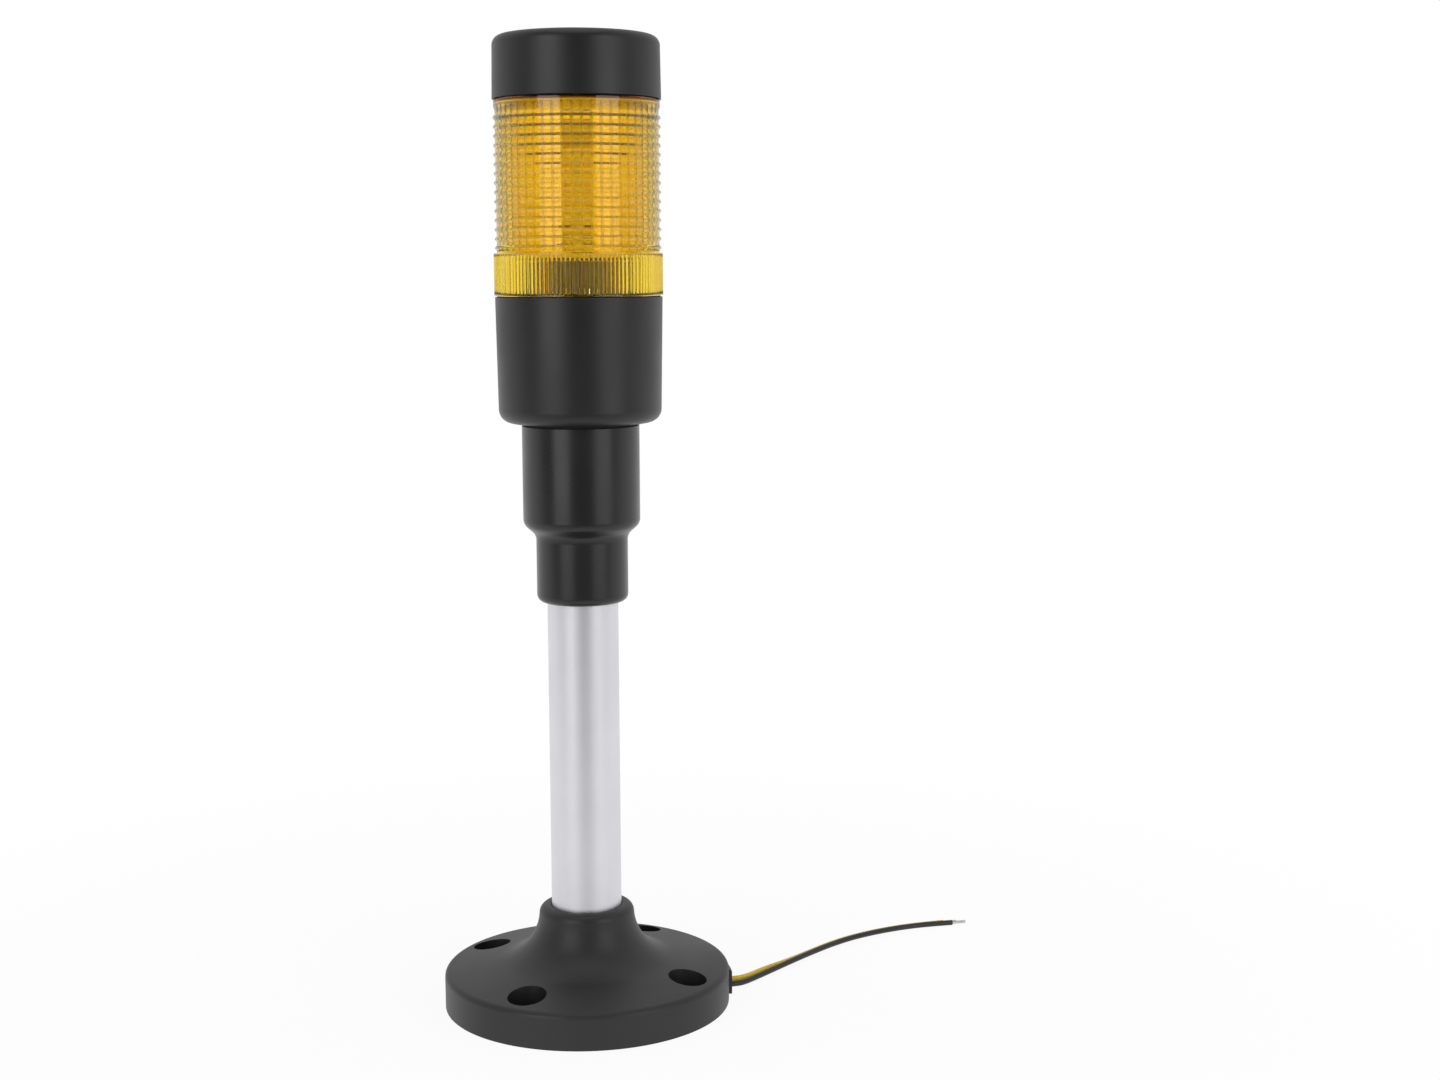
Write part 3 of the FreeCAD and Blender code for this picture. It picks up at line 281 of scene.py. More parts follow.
surfaceLook = {
    "noiseRange": (0.3, 0.7),
    "dustColor": (0.30, 0.29, 0.27, 1.0),
    # painted edge highlight: a lighter colour and a lower roughness on edges
    "highlightColor": (0.10, 0.098, 0.10, 1.0),
    "edgeGloss": 0.3,
    "trackHeight": 2.0,
    "grainShare": 0.4,
    "mouldedChange": 0.15,
    "metalChange": 0.05,
    "clearChange": 0.03,
    "mouldedRelief": 0.02 * mm,
    "fineRelief": 0.01 * mm,
    "ior": 1.5,
}


def newMaterial(name):
    material = bpy.data.materials.new(name)
    material.use_nodes = True
    tree = material.node_tree
    return material, tree, tree.nodes["Principled BSDF"]


def shade(value, change=1.0):  # a colour made lighter or darker
    return tuple(min(1.0, channel * change) for channel in value[:3]) + (1.0,)


def patchedColor(tree, patch, color, change):
    return blendColors(tree, patch, shade(color, 1 - change), shade(color, 1 + change))


def patchedRoughness(tree, patch, ends):
    return spread(tree, patch, surfaceLook["noiseRange"], ends)


def dress(tree, surface, color, roughness, height, strength, relief):
    inputs = {"Height": height, "Strength": strength, "Distance": relief}
    bump = addNode(tree, "ShaderNodeBump", inputs).outputs[0]
    tree.links.new(color, surface.inputs["Base Color"])
    tree.links.new(roughness, surface.inputs["Roughness"])
    tree.links.new(bump, surface.inputs["Normal"])


def mouldedPlastic(name, look):
    material, tree, surface = newMaterial(name)
    sizes = {"Grain Size": look["grainSize"], "Patch Size": look["patchSize"]}
    grain = useGroup(tree, mouldGrain, sizes)
    dust = useGroup(tree, dustFilm, {"Amount": look["dust"]})["Dust"]
    color = patchedColor(tree, grain["Patch"], look["color"], surfaceLook["mouldedChange"])
    color = blendColors(tree, dust, color, surfaceLook["dustColor"])
    roughness = patchedRoughness(tree, grain["Patch"], look["roughness"])
    height = grain["Grain"]
    # painted highlight: edges lighter in colour, and glossier
    if "wear" in look:
        wear = useGroup(tree, edgeWear, {"Amount": look["wear"]})["Wear"]
        color = blendColors(tree, wear, color, surfaceLook["highlightColor"])
        polish = multiply(tree, wear, surfaceLook["edgeGloss"])
        roughness = subtract(tree, roughness, polish)
    if "trackColor" in look:
        tracks = useGroup(tree, boardTracks, {})["Tracks"]
        color = blendColors(tree, tracks, color, shade(look["trackColor"]))
        height = add(tree, height, multiply(tree, tracks, surfaceLook["trackHeight"]))
    relief = surfaceLook["mouldedRelief"]
    dress(tree, surface, color, roughness, height, look["bump"], relief)
    surface.inputs["IOR"].default_value = surfaceLook["ior"]
    return material


def mouldedLook(color, roughness, grainSize, patchSize, bump, dust=0.0, **more):
    return {"color": color, "roughness": roughness, "grainSize": grainSize,
            "patchSize": patchSize, "bump": bump, "dust": dust, **more}


blackPlastic = mouldedLook((0.008, 0.0077, 0.0083), (0.37, 0.44), 0.25, 18.0, 0.25, 0.01, wear=0.25)
glossyPlastic = mouldedLook((0.008, 0.0077, 0.0083), (0.27, 0.33), 0.3, 14.0, 0.15, 0.01, wear=0.25)
footPlastic = mouldedLook((0.012, 0.0117, 0.0127), (0.44, 0.52), 0.35, 25.0, 0.5, 0.02, wear=0.3)
socketPlastic = mouldedLook((0.09, 0.085, 0.08), (0.4, 0.5), 0.3, 10.0, 0.3)
whitePlastic = mouldedLook((0.88, 0.87, 0.84), (0.4, 0.5), 0.3, 10.0, 0.3)
boardLacquer = mouldedLook((0.90, 0.90, 0.88), (0.25, 0.35), 0.2, 8.0, 0.3,
                           trackColor=(0.84, 0.83, 0.79))
packageWhite = mouldedLook((0.90, 0.90, 0.88), (0.3, 0.4), 0.15, 3.0, 0.2)
rubber = mouldedLook((0.008, 0.008, 0.008), (0.7, 0.85), 0.15, 6.0, 0.8)
blackPvc = mouldedLook((0.014, 0.0135, 0.013), (0.38, 0.5), 0.2, 8.0, 0.3, 0.03)
yellowPvc = mouldedLook((0.78, 0.54, 0.03), (0.38, 0.5), 0.2, 8.0, 0.3, 0.02)
ledResin = mouldedLook((0.75, 0.55, 0.10), (0.15, 0.25), 0.2, 3.0, 0.1)
blackResin = mouldedLook((0.015, 0.015, 0.016), (0.4, 0.5), 0.1, 3.0, 0.5)


def drawnMetal(name, look):
    material, tree, surface = newMaterial(name)
    sizes = {"Line Width": look["lineWidth"], "Line Length": look["lineLength"]}
    lines = useGroup(tree, drawnLines, sizes)["Lines"]
    sizes = {"Grain Size": look["grainSize"], "Patch Size": look["patchSize"]}
    grain = useGroup(tree, mouldGrain, sizes)
    color = patchedColor(tree, grain["Patch"], look["color"], surfaceLook["metalChange"])
    roughness = patchedRoughness(tree, lines, look["roughness"])
    height = add(tree, lines, multiply(tree, grain["Grain"], surfaceLook["grainShare"]))
    dress(tree, surface, color, roughness, height, look["bump"], surfaceLook["fineRelief"])
    surface.inputs["Metallic"].default_value = 1.0
    return material


def metalLook(color, roughness, lineLength, patchSize, bump, lineWidth=0.1, grainSize=0.1):
    return {"color": color, "roughness": roughness, "lineWidth": lineWidth,
            "lineLength": lineLength, "grainSize": grainSize, "patchSize": patchSize, "bump": bump}


poleMetal = metalLook((0.77, 0.76, 0.80), (0.42, 0.52), 40.0, 15.0, 0.15, 0.12, 0.15)
brass = metalLook((0.72, 0.52, 0.22), (0.25, 0.4), 3.0, 2.0, 0.2)
blackSteel = metalLook((0.10, 0.10, 0.11), (0.3, 0.45), 1.0, 1.0, 0.3)
brightSteel = metalLook((0.60, 0.60, 0.61), (0.22, 0.35), 1.0, 1.5, 0.2)
tinnedCopper = metalLook((0.66, 0.64, 0.60), (0.2, 0.35), 1.0, 1.0, 0.3)

amber = {
    "color": (0.985, 0.715, 0.035),
    # painted shade: the dark amber blended in where the "rim" mark is set
    "paintedShadeColor": (0.30, 0.09, 0.003),
    "roughness": (0.03, 0.07),
    "frostedRoughness": 0.15,
    "groovedRoughness": 0.5,
    "ior": 1.49,
    "grainSize": 0.6,
    "patchSize": 12.0,
    "bump": 0.1,
}


def attributeMark(tree, name):
    return addNode(tree, "ShaderNodeAttribute", attribute_name=name).outputs["Fac"]


def amberPlastic(name, look):  # clear plastic, frosted on its inner wall, with painted shade: a deeper colour painted in its rim
    material, tree, surface = newMaterial(name)
    sizes = {"Grain Size": look["grainSize"], "Patch Size": look["patchSize"]}
    grain = useGroup(tree, mouldGrain, sizes)
    color = patchedColor(tree, grain["Patch"], look["color"], surfaceLook["clearChange"])
    # painted shade: dark amber blended in by the "rim" mark, on the shoulder rim, the collar and
    # the lower ring flanks
    color = blendColors(tree, attributeMark(tree, "rim"), color, shade(look["paintedShadeColor"]))
    smooth = patchedRoughness(tree, grain["Patch"], look["roughness"])
    frosted = multiply(tree, attributeMark(tree, "frosted"), look["frostedRoughness"])
    grooved = multiply(tree, attributeMark(tree, "grooved"), look["groovedRoughness"])
    roughness = larger(tree, smooth, larger(tree, frosted, grooved))
    relief = surfaceLook["fineRelief"]
    dress(tree, surface, color, roughness, grain["Grain"], look["bump"], relief)
    surface.inputs["Transmission Weight"].default_value = 1.0
    surface.inputs["IOR"].default_value = look["ior"]
    return material


lensMaterial = amberPlastic("amberPlastic", amber)
packageMaterial = mouldedPlastic("packageWhite", packageWhite)
finishes = {
    "base_flange": mouldedPlastic("footPlastic", footPlastic),
    "pole": drawnMetal("poleAluminium", poleMetal),
    "pole_adapter": mouldedPlastic("glossyPlastic", glossyPlastic),
    "pole_set_screws": drawnMetal("blackSteel", blackSteel),
    "threaded_inserts": drawnMetal("brass", brass),
    "adapter_gasket": mouldedPlastic("rubber", rubber),
    "lamp_housing": mouldedPlastic("blackPlastic", blackPlastic),
    "bayonet_socket": mouldedPlastic("socketPlastic", socketPlastic),
    "socket_screws": drawnMetal("brightSteel", brightSteel),
    "lens": lensMaterial,
    "module_floor": mouldedPlastic("whitePlastic", whitePlastic),
    "led_base_board": mouldedPlastic("boardLacquer", boardLacquer),
    "led_chips": mouldedPlastic("ledResin", ledResin),
    "board_components": mouldedPlastic("blackResin", blackResin),
    "black_lead": mouldedPlastic("blackPvc", blackPvc),
    "yellow_lead": mouldedPlastic("yellowPvc", yellowPvc),
    "black_lead_end": drawnMetal("tinnedCopper", tinnedCopper),
}
sameFinish = {
    "top_cap": "lamp_housing",
    "contact_pads": "threaded_inserts",
    "contact_springs": "threaded_inserts",
    "housing_seal": "adapter_gasket",
    "cap_seal": "adapter_gasket",
    "led_column_board": "led_base_board",
    "black_lead_inner": "black_lead",
    "yellow_lead_inner": "yellow_lead",
    "yellow_lead_end": "black_lead_end",
}
for node, other in sameFinish.items():
    finishes[node] = finishes[other]
for node, material in finishes.items():
    mesh = nodes[node].data
    mesh.materials.clear()
    mesh.materials.append(material)
print("materials made:", len(set(finishes.values()) | {packageMaterial}))


# what the geometry trees share
def geometryTree(name, sizes):
    tree = bpy.data.node_groups.new(name, "GeometryNodeTree")
    tree.interface.new_socket("Geometry", in_out="INPUT", socket_type="NodeSocketGeometry")
    tree.interface.new_socket("Geometry", in_out="OUTPUT", socket_type="NodeSocketGeometry")
    for label, value in sizes.items():
        socket = tree.interface.new_socket(label, in_out="INPUT", socket_type="NodeSocketFloat")
        socket.default_value = value
    given = tree.nodes.new("NodeGroupInput").outputs
    return tree, given, tree.nodes.new("NodeGroupOutput").inputs


def openSocket(sockets, name):  # of sockets with one name, the one in use
    return next(socket for socket in sockets if socket.enabled and socket.name == name)


def markOf(tree, name):
    node = addNode(tree, "GeometryNodeInputNamedAttribute", {"Name": name}, data_type="FLOAT")
    return openSocket(node.outputs, "Attribute")


def storeMark(tree, geometry, name, value, domain, selection=True):
    inputs = {"Geometry": geometry, "Selection": selection, "Name": name}
    stored = addNode(tree, "GeometryNodeStoreNamedAttribute", inputs, data_type="FLOAT",
                     domain=domain)
    feed(tree, openSocket(stored.inputs, "Value"), value)
    return stored.outputs[0]


def offStep(tree, value):  # distance from the nearest whole number
    return subtract(tree, value, compute(tree, "ROUND", value))


def shifted(tree, geometry, offset):
    inputs = {"Geometry": geometry, "Offset": offset}
    return addNode(tree, "GeometryNodeSetPosition", inputs).outputs[0]


def joined(tree, *parts):
    join = tree.nodes.new("GeometryNodeJoinGeometry")
    for part in parts:
        tree.links.new(part, join.inputs[0])
    return join.outputs[0]


def realized(tree, geometry):
    return addNode(tree, "GeometryNodeRealizeInstances", {"Geometry": geometry}).outputs[0]


def dressed(tree, geometry, material, selection=True):
    inputs = {"Geometry": geometry, "Selection": selection, "Material": material}
    return addNode(tree, "GeometryNodeSetMaterial", inputs).outputs[0]


def bakeTree(piece, tree, sizes):  # the tree's result as a plain mesh
    nodesModifier = piece.modifiers.new(tree.name, "NODES")
    nodesModifier.node_group = tree
    for socket in tree.interface.items_tree:
        if socket.in_out == "INPUT" and socket.name in sizes:
            nodesModifier[socket.identifier] = sizes[socket.name]
    depsgraph = bpy.context.evaluated_depsgraph_get()
    baked = bpy.data.meshes.new_from_object(piece.evaluated_get(depsgraph))
    piece.modifiers.remove(nodesModifier)
    piece.data = baked
    return baked


def addPiece(name, mesh, body, replaced):
    piece = bpy.data.objects.new(name, mesh)
    scene.collection.objects.link(piece)
    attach(piece, body)
    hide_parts(*replaced)
    return piece


# the two leads: they leave the foot at an angle of its own and lie on the table
leads = {
    "outletTurn": 14.0,
    "reach": 46.2 * mm,
    "offset": 1.6 * mm,
    "straight": 3.0 * mm,
    "diameter": 1.8 * mm,
    "roundness": 6,
    "smoothness": 16,
    "wirePoints": 24,
    "wireSides": 8,
    "wireTuck": 0.3 * mm,
}
strands = {
    "Length": 5.25 * mm,
    "Wire": 0.36 * mm,
    "Around": 6,
    "Turns": 0.7,
}


def makeTwist():  # one straight wire with the others laid round it
    tree, given, result = geometryTree("strandTwist", strands)
    top = vectorOf(tree, z=given["Length"])
    line = addNode(tree, "GeometryNodeCurvePrimitiveLine", {"End": top}).outputs[0]
    inputs = {"Curve": line, "Count": leads["wirePoints"]}
    core = addNode(tree, "GeometryNodeResampleCurve", inputs).outputs[0]
    inputs = {"Geometry": core, "Amount": given["Around"]}
    copies = addNode(tree, "GeometryNodeDuplicateElements", inputs, domain="SPLINE").outputs
    height = axesOf(tree, addNode(tree, "GeometryNodeInputPosition").outputs[0])["Z"]
    share = divide(tree, copies["Duplicate Index"], given["Around"])
    climb = multiply(tree, divide(tree, height, given["Length"]), given["Turns"])
    turn = multiply(tree, add(tree, share, climb), 2 * math.pi)
    aside = multiply(tree, compute(tree, "COSINE", turn), given["Wire"])
    along = multiply(tree, compute(tree, "SINE", turn), given["Wire"])
    wound = shifted(tree, copies["Geometry"], vectorOf(tree, aside, along))
    inputs = {"Resolution": leads["wireSides"], "Radius": divide(tree, given["Wire"], 2.0)}
    section = addNode(tree, "GeometryNodeCurvePrimitiveCircle", inputs).outputs[0]
    inputs = {"Curve": joined(tree, core, wound), "Profile Curve": section, "Fill Caps": True}
    tubes = addNode(tree, "GeometryNodeCurveToMesh", inputs).outputs[0]
    material = finishes["black_lead_end"]
    feed(tree, result["Geometry"], dressed(tree, realized(tree, tubes), material))
    return tree


def makeStrands(name, tree, route, node):  # the tinned wires that stand out of a stripped end
    piece = addPiece(name, bpy.data.meshes.new(name), "stand", [node])
    mesh = bakeTree(piece, tree, strands)
    direction = (Vector(route[-1]) - Vector(route[-2])).normalized()
    start = Vector(route[-1]) - direction * leads["wireTuck"]
    lean = Vector((0.0, 0.0, 1.0)).rotation_difference(direction).to_matrix().to_4x4()
    mesh.transform(Matrix.Translation(start) @ lean)
    mesh.shade_smooth()
    return piece


def outletStart(aside, height):  # the first two points, straight out of the foot
    turn = math.radians(leads["outletTurn"])
    points = []
    for reach in (leads["reach"], leads["reach"] + leads["straight"]):
        points.append((reach * math.cos(turn) - aside * math.sin(turn),
                       reach * math.sin(turn) + aside * math.cos(turn), height))
    return points


def makeLead(name, route, node):
    line = bpy.data.curves.new(name, "CURVE")
    line.dimensions = "3D"
    line.bevel_depth = leads["diameter"] / 2
    line.bevel_resolution = leads["roundness"]
    line.resolution_u = leads["smoothness"]
    line.use_fill_caps = True
    spline = line.splines.new("NURBS")
    spline.points.add(len(route) - 1)
    for point, place in zip(spline.points, route):
        point.co = (*place, 1.0)
    spline.order_u = 3
    spline.use_endpoint_u = True
    line.materials.append(finishes[node])
    lead = bpy.data.objects.new(name, line)
    scene.collection.objects.link(lead)
    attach(lead, "stand")
    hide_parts(node)


blackRoute = outletStart(-leads["offset"], 0.0012) + [
    (0.0504, 0.0122, 0.00115),
    (0.0529, 0.0153, 0.0011),
    (0.0586, 0.0220, 0.0013),
    (0.0662, 0.0306, 0.00175),
    (0.0734, 0.0392, 0.00185),
    (0.0806, 0.0476, 0.0018),
    (0.0880, 0.0546, 0.00175),
    (0.0962, 0.0604, 0.0017),
    (0.1054, 0.0654, 0.00165),
    (0.1150, 0.0690, 0.0016),
    (0.1240, 0.0712, 0.0015),
]
yellowRoute = outletStart(leads["offset"], 0.0017) + [
    (0.0499, 0.0154, 0.0015),
    (0.0523, 0.0185, 0.0012),
    (0.0572, 0.0250, 0.00105),
    (0.0648, 0.0324, 0.0010),
    (0.0720, 0.0408, 0.0010),
    (0.0793, 0.0493, 0.0010),
    (0.0869, 0.0564, 0.0010),
    (0.0953, 0.0624, 0.0010),
    (0.1047, 0.0674, 0.0010),
    (0.1144, 0.0710, 0.0010),
    (0.1210, 0.0728, 0.0010),
]
twist = makeTwist()
blackWires = makeStrands("blackStrands", twist, blackRoute, "black_lead_end")
yellowWires = makeStrands("yellowStrands", twist, yellowRoute, "yellow_lead_end")
makeLead("blackLead", blackRoute, "black_lead")
makeLead("yellowLead", yellowRoute, "yellow_lead")
print("leads laid")


# the lens: a turned shell in one piece; its rings, flutes, ribs and latches are pressed in later
lens = {
    "outerPoints": 192,
    "innerPoints": 400,
    "collarPoints": 720,
    "collarRadius": 25.7,
    "collarHeight": 12.9,
    "boreRadius": 23.3,
    "floorSeat": 13.1,
    "wallRadius": 24.7,
    "insideRadius": 22.5,
    "shoulderRadius": 25.1,
    "shoulderStart": 55.3,
    "bandStart": 56.5,
    "rimStart": 57.2,
    "height": 58.3,
    "spigotRadius": 19.5,
    "spigotInside": 17.7,
    "spigotSeat": 58.7,
    "spigotTop": 69.1,
    "crown": 1.0,
    "edge": 0.2,
    "ringCount": 15,
    "ringRows": (-1.0, -0.9, -0.6, -0.32, -0.24, -0.16, 0.0, 0.16, 0.24, 0.32, 0.6, 0.9, 1.0),
    # painted shade: the share of dark amber on the collar and on the lower flank rows of each ring
    "collarPaintedShade": 0.09,
    "flankPaintedShade": {-0.9: 0.15, -0.6: 0.3, -0.32: 0.15},
    "flutesLow": 14.1,
    "flutesHigh": 56.3,
    "runOut": 0.3,
    "ribsLow": 0.5,
    "ribsHigh": 12.5,
    "hook": {"reach": -3.5, "start": 270.7, "spread": 12.0, "low": 0.5, "high": 2.4},
    "lug": {"reach": 1.2, "start": 267.3, "spread": 38.7, "low": 2.5, "high": 8.0},
    "stop": {"reach": 1.2, "start": 267.3, "spread": 3.0, "low": 0.3, "high": 2.5},
    "step": 0.02,
    "sharpAngle": 25.0,
}
lensRelief = {
    "Ring First": 14.3 * mm,
    "Ring Pitch": 2.78 * mm,
    "Ring Root": 1.8 * mm,
    "Ring Crest": 0.4 * mm,
    "Ring Proud": 0.58 * mm,
    "Ring Rounding": 0.06 * mm,
    "Flute Count": 50.0,
    "Flute Share": 0.3,
    "Flute Depth": 0.17 * mm,
    "Flute Rub": 6.0,
    "Rib Count": 120.0,
    "Rib Depth": 0.55 * mm,
}
lensMarks = ["ring", "flute", "rib", "latch", "latchStart", "latchSpread", "frosted", "rim"]
thirdTurn = 120.0


def latchMarks(latch):
    reach = latch["reach"] * mm
    return {"latch": reach, "latchStart": latch["start"], "latchSpread": latch["spread"]}


# each row has a radius, a height, a number of points and its marks
def outsideRows():
    outer, fine = lens["outerPoints"], lens["collarPoints"]
    edge, runOut, collarShade = lens["edge"], lens["runOut"], lens["collarPaintedShade"]
    collar, wall, shoulder = lens["collarRadius"], lens["wallRadius"], lens["shoulderRadius"]
    # the collar rows carry a little painted shade in the "rim" mark
    rows = [
        (collar - edge, 0, fine, {}),
        (collar, edge, fine, {"rim": collarShade}),
        (collar, lens["ribsLow"], fine, {"rim": collarShade}),
        (collar, lens["ribsLow"] + runOut, fine, {"rim": collarShade, "rib": 1.0}),
        (collar, lens["ribsHigh"] - runOut, fine, {"rim": collarShade, "rib": 1.0}),
        (collar, lens["ribsHigh"], fine, {"rim": collarShade}),
        (collar, lens["collarHeight"] - edge, fine, {}),
        (collar - edge, lens["collarHeight"], fine, {}),
        (wall, lens["collarHeight"], outer, {}),
    ]
    halfRoot = lensRelief["Ring Root"] / mm / 2
    for number in range(lens["ringCount"]):
        middle = (lensRelief["Ring First"] + number * lensRelief["Ring Pitch"]) / mm
        for share in lens["ringRows"]:
            # the lower flank rows of each ring carry painted shade, drawn as dark lines
            marks = {"ring": 1.0, "rim": lens["flankPaintedShade"].get(share, 0.0)}
            rows.append((wall, middle + halfRoot * share, outer, marks))
    # the top band of the rim carries full painted shade
    return rows + [
        (wall, lens["shoulderStart"], outer, {}),
        (shoulder, lens["bandStart"], outer, {}),
        (shoulder, lens["rimStart"], outer, {}),
        (shoulder, lens["rimStart"] + edge, outer, {"rim": 1.0}),
        (shoulder, lens["height"] - edge, outer, {"rim": 1.0}),
        (shoulder - edge, lens["height"], outer, {"rim": 1.0}),
    ]


def spigotRows():
    outer, inner = lens["outerPoints"], lens["innerPoints"]
    edge, step, spigot = lens["edge"], lens["step"], lens["spigotRadius"]
    rows = [(spigot, lens["height"], inner, {})]
    for latch in (lens["stop"], lens["lug"]):
        low, high = lens["spigotSeat"] + latch["low"], lens["spigotSeat"] + latch["high"]
        rows += [
            (spigot, low - step, inner, {}),
            (spigot, low, inner, latchMarks(latch)),
            (spigot, high - 2 * step, inner, latchMarks(latch)),
            (spigot, high - 1.5 * step, inner, {}),
        ]
    return rows + [
        (spigot, lens["spigotTop"] - edge, outer, {}),
        (spigot - edge, lens["spigotTop"], outer, {}),
        (lens["spigotInside"], lens["spigotTop"], outer, {}),
        (lens["spigotInside"], lens["height"], outer, {}),
        (0, lens["height"], 1, {}),
    ]


def insideRows():
    inner, wall, bore = lens["innerPoints"], lens["insideRadius"], lens["boreRadius"]
    runOut, step, hook = lens["runOut"], lens["step"], lens["hook"]
    plate = lens["height"] - lens["crown"]
    return [
        (0, plate, 1, {}),
        (wall, plate, inner, {"frosted": 1.0}),
        (wall, lens["flutesHigh"], inner, {"frosted": 1.0}),
        (wall, lens["flutesHigh"] - runOut, inner, {"frosted": 1.0, "flute": 1.0}),
        (wall, lens["flutesLow"] + runOut, inner, {"frosted": 1.0, "flute": 1.0}),
        (wall, lens["flutesLow"], inner, {"frosted": 1.0}),
        (wall, lens["floorSeat"], inner, {"frosted": 1.0}),
        (bore, lens["floorSeat"], inner, {}),
        (bore, hook["high"] + step, inner, {}),
        (bore, hook["high"], inner, latchMarks(hook)),
        (bore, hook["low"], inner, latchMarks(hook)),
        (bore, hook["low"] - step, inner, {}),
        (bore, 0, inner, {}),
    ]


def bridge(below, above):  # faces between two rows, which may differ in their number of points
    low, high = len(below), len(above)
    if low == high:
        around = [(k, (k + 1) % low) for k in range(low) if low > 1]
        return [(below[k], below[after], above[after], above[k]) for k, after in around]
    faces = []
    i, j = int(low == 1), int(high == 1)
    while i < low or j < high:
        if j == high or (i < low and (i + 1) * high <= (j + 1) * low):
            faces.append((below[i % low], below[(i + 1) % low], above[j % high]))
            i += 1
        else:
            faces.append((below[i % low], above[(j + 1) % high], above[j % high]))
            j += 1
    return faces


def turnedShell(name, rows, base):  # rows of points turned about Z, joined into a closed shell
    mesh = bpy.data.meshes.new(name)
    points, marks, loops, faces = [], [], [], []
    for radius, height, count, rowMarks in rows:
        loops.append(range(len(points), len(points) + count))
        for step in range(count):
            turn = 2 * math.pi * step / count
            x, y = radius * mm * math.cos(turn), radius * mm * math.sin(turn)
            points.append((x, y, base + height * mm))
            marks.append(rowMarks)
    for below, above in zip(loops, loops[1:] + loops[:1]):
        faces += bridge(below, above)
    mesh.from_pydata(points, [], faces)
    for mark in lensMarks:
        values = [rowMarks.get(mark, 0.0) for rowMarks in marks]
        mesh.attributes.new(mark, "FLOAT", "POINT").data.foreach_set("value", values)
    return mesh


def ringHeight(tree, given, height):  # a sloping ridge with a rounded crest at each step
    steps = divide(tree, subtract(tree, height, given["Ring First"]), given["Ring Pitch"])
    off = compute(tree, "ABSOLUTE", multiply(tree, offStep(tree, steps), given["Ring Pitch"]))
    reach = subtract(tree, divide(tree, given["Ring Root"], 2.0), off)
    flank = divide(tree, subtract(tree, given["Ring Root"], given["Ring Crest"]), 2.0)
    slope = multiply(tree, divide(tree, reach, flank), given["Ring Proud"])
    ridge = compute(tree, "SMOOTH_MIN", slope, given["Ring Proud"], given["Ring Rounding"])
    return multiply(tree, larger(tree, ridge, 0.0), markOf(tree, "ring"))


def grooveShare(tree, given, turns):  # plain strips parted by sharp grooves
    off = offStep(tree, multiply(tree, turns, given["Flute Count"]))
    across = multiply(tree, compute(tree, "ABSOLUTE", off), 2.0)
    groove = subtract(tree, across, subtract(tree, 1.0, given["Flute Share"]))
    return divide(tree, larger(tree, groove, 0.0), given["Flute Share"])


def ribHeight(tree, given, turns):  # rounded ribs with sharp valleys
    across = multiply(tree, offStep(tree, multiply(tree, turns, given["Rib Count"])), 2.0)
    return multiply(tree, across, across, given["Rib Depth"], markOf(tree, "rib"), -1.0)


def latchHeight(tree, turns):  # hooks, lugs and stops, three of each
    after = subtract(tree, multiply(tree, turns, 360.0), markOf(tree, "latchStart"))
    within = compute(tree, "FRACT", divide(tree, after, thirdTurn))
    within = multiply(tree, within, thirdTurn)
    inside = compute(tree, "LESS_THAN", within, markOf(tree, "latchSpread"))
    return multiply(tree, inside, markOf(tree, "latch"))


def makeLensRelief():
    tree, given, result = geometryTree("lensRelief", lensRelief)
    place = addNode(tree, "GeometryNodeInputPosition").outputs[0]
    axes = axesOf(tree, place)
    flat = scaledBy(tree, place, (1.0, 1.0, 0.0))
    turns = divide(tree, compute(tree, "ARCTAN2", axes["Y"], axes["X"]), 2 * math.pi)
    groove = grooveShare(tree, given, turns)
    flute = multiply(tree, groove, given["Flute Depth"], markOf(tree, "flute"))
    ring = ringHeight(tree, given, axes["Z"])
    relief = add(tree, ring, flute, ribHeight(tree, given, turns), latchHeight(tree, turns))

    # the relief moves each point along its own radius
    share = divide(tree, relief, larger(tree, lengthOf(tree, flat), mm))
    inputs = {0: flat, "Scale": share}
    moved = addNode(tree, "ShaderNodeVectorMath", inputs, operation="SCALE").outputs[0]
    maskShare = compute(tree, "MINIMUM", multiply(tree, groove, given["Flute Rub"]), 1.0)
    maskShare = multiply(tree, maskShare, markOf(tree, "flute"))
    marked = storeMark(tree, given["Geometry"], "grooved", maskShare, "POINT")
    pressed = realized(tree, shifted(tree, marked, moved))
    feed(tree, result["Geometry"], dressed(tree, pressed, lensMaterial))
    return tree


def makeLens():
    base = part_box("lens")[0][2]
    shell = turnedShell("amberLens", outsideRows() + spigotRows() + insideRows(), base)
    piece = addPiece("amberLens", shell, "light_module", ["lens"])
    sizes = {**lensRelief, "Ring First": base + lensRelief["Ring First"]}
    mesh = bakeTree(piece, makeLensRelief(), sizes)
    mesh.shade_smooth()
    mesh.set_sharp_from_angle(angle=math.radians(lens["sharpAngle"]))
    print("lens made:", len(mesh.vertices), "points")


makeLens()


# the LEDs: white packages with a cup of yellow resin, in columns on both sides of the board
packages = {
    "Columns": 2,
    "Rows": 5,
    "Column Gap": 5.4 * mm,
    "Row Pitch": 6.2 * mm,
    "Width": 3.5 * mm,
    "Height": 2.8 * mm,
    "Depth": 1.9 * mm,
    "Board Face": 0.8 * mm,
    "Cup Share": 0.76,
    "Cup Depth": 0.3 * mm,
}


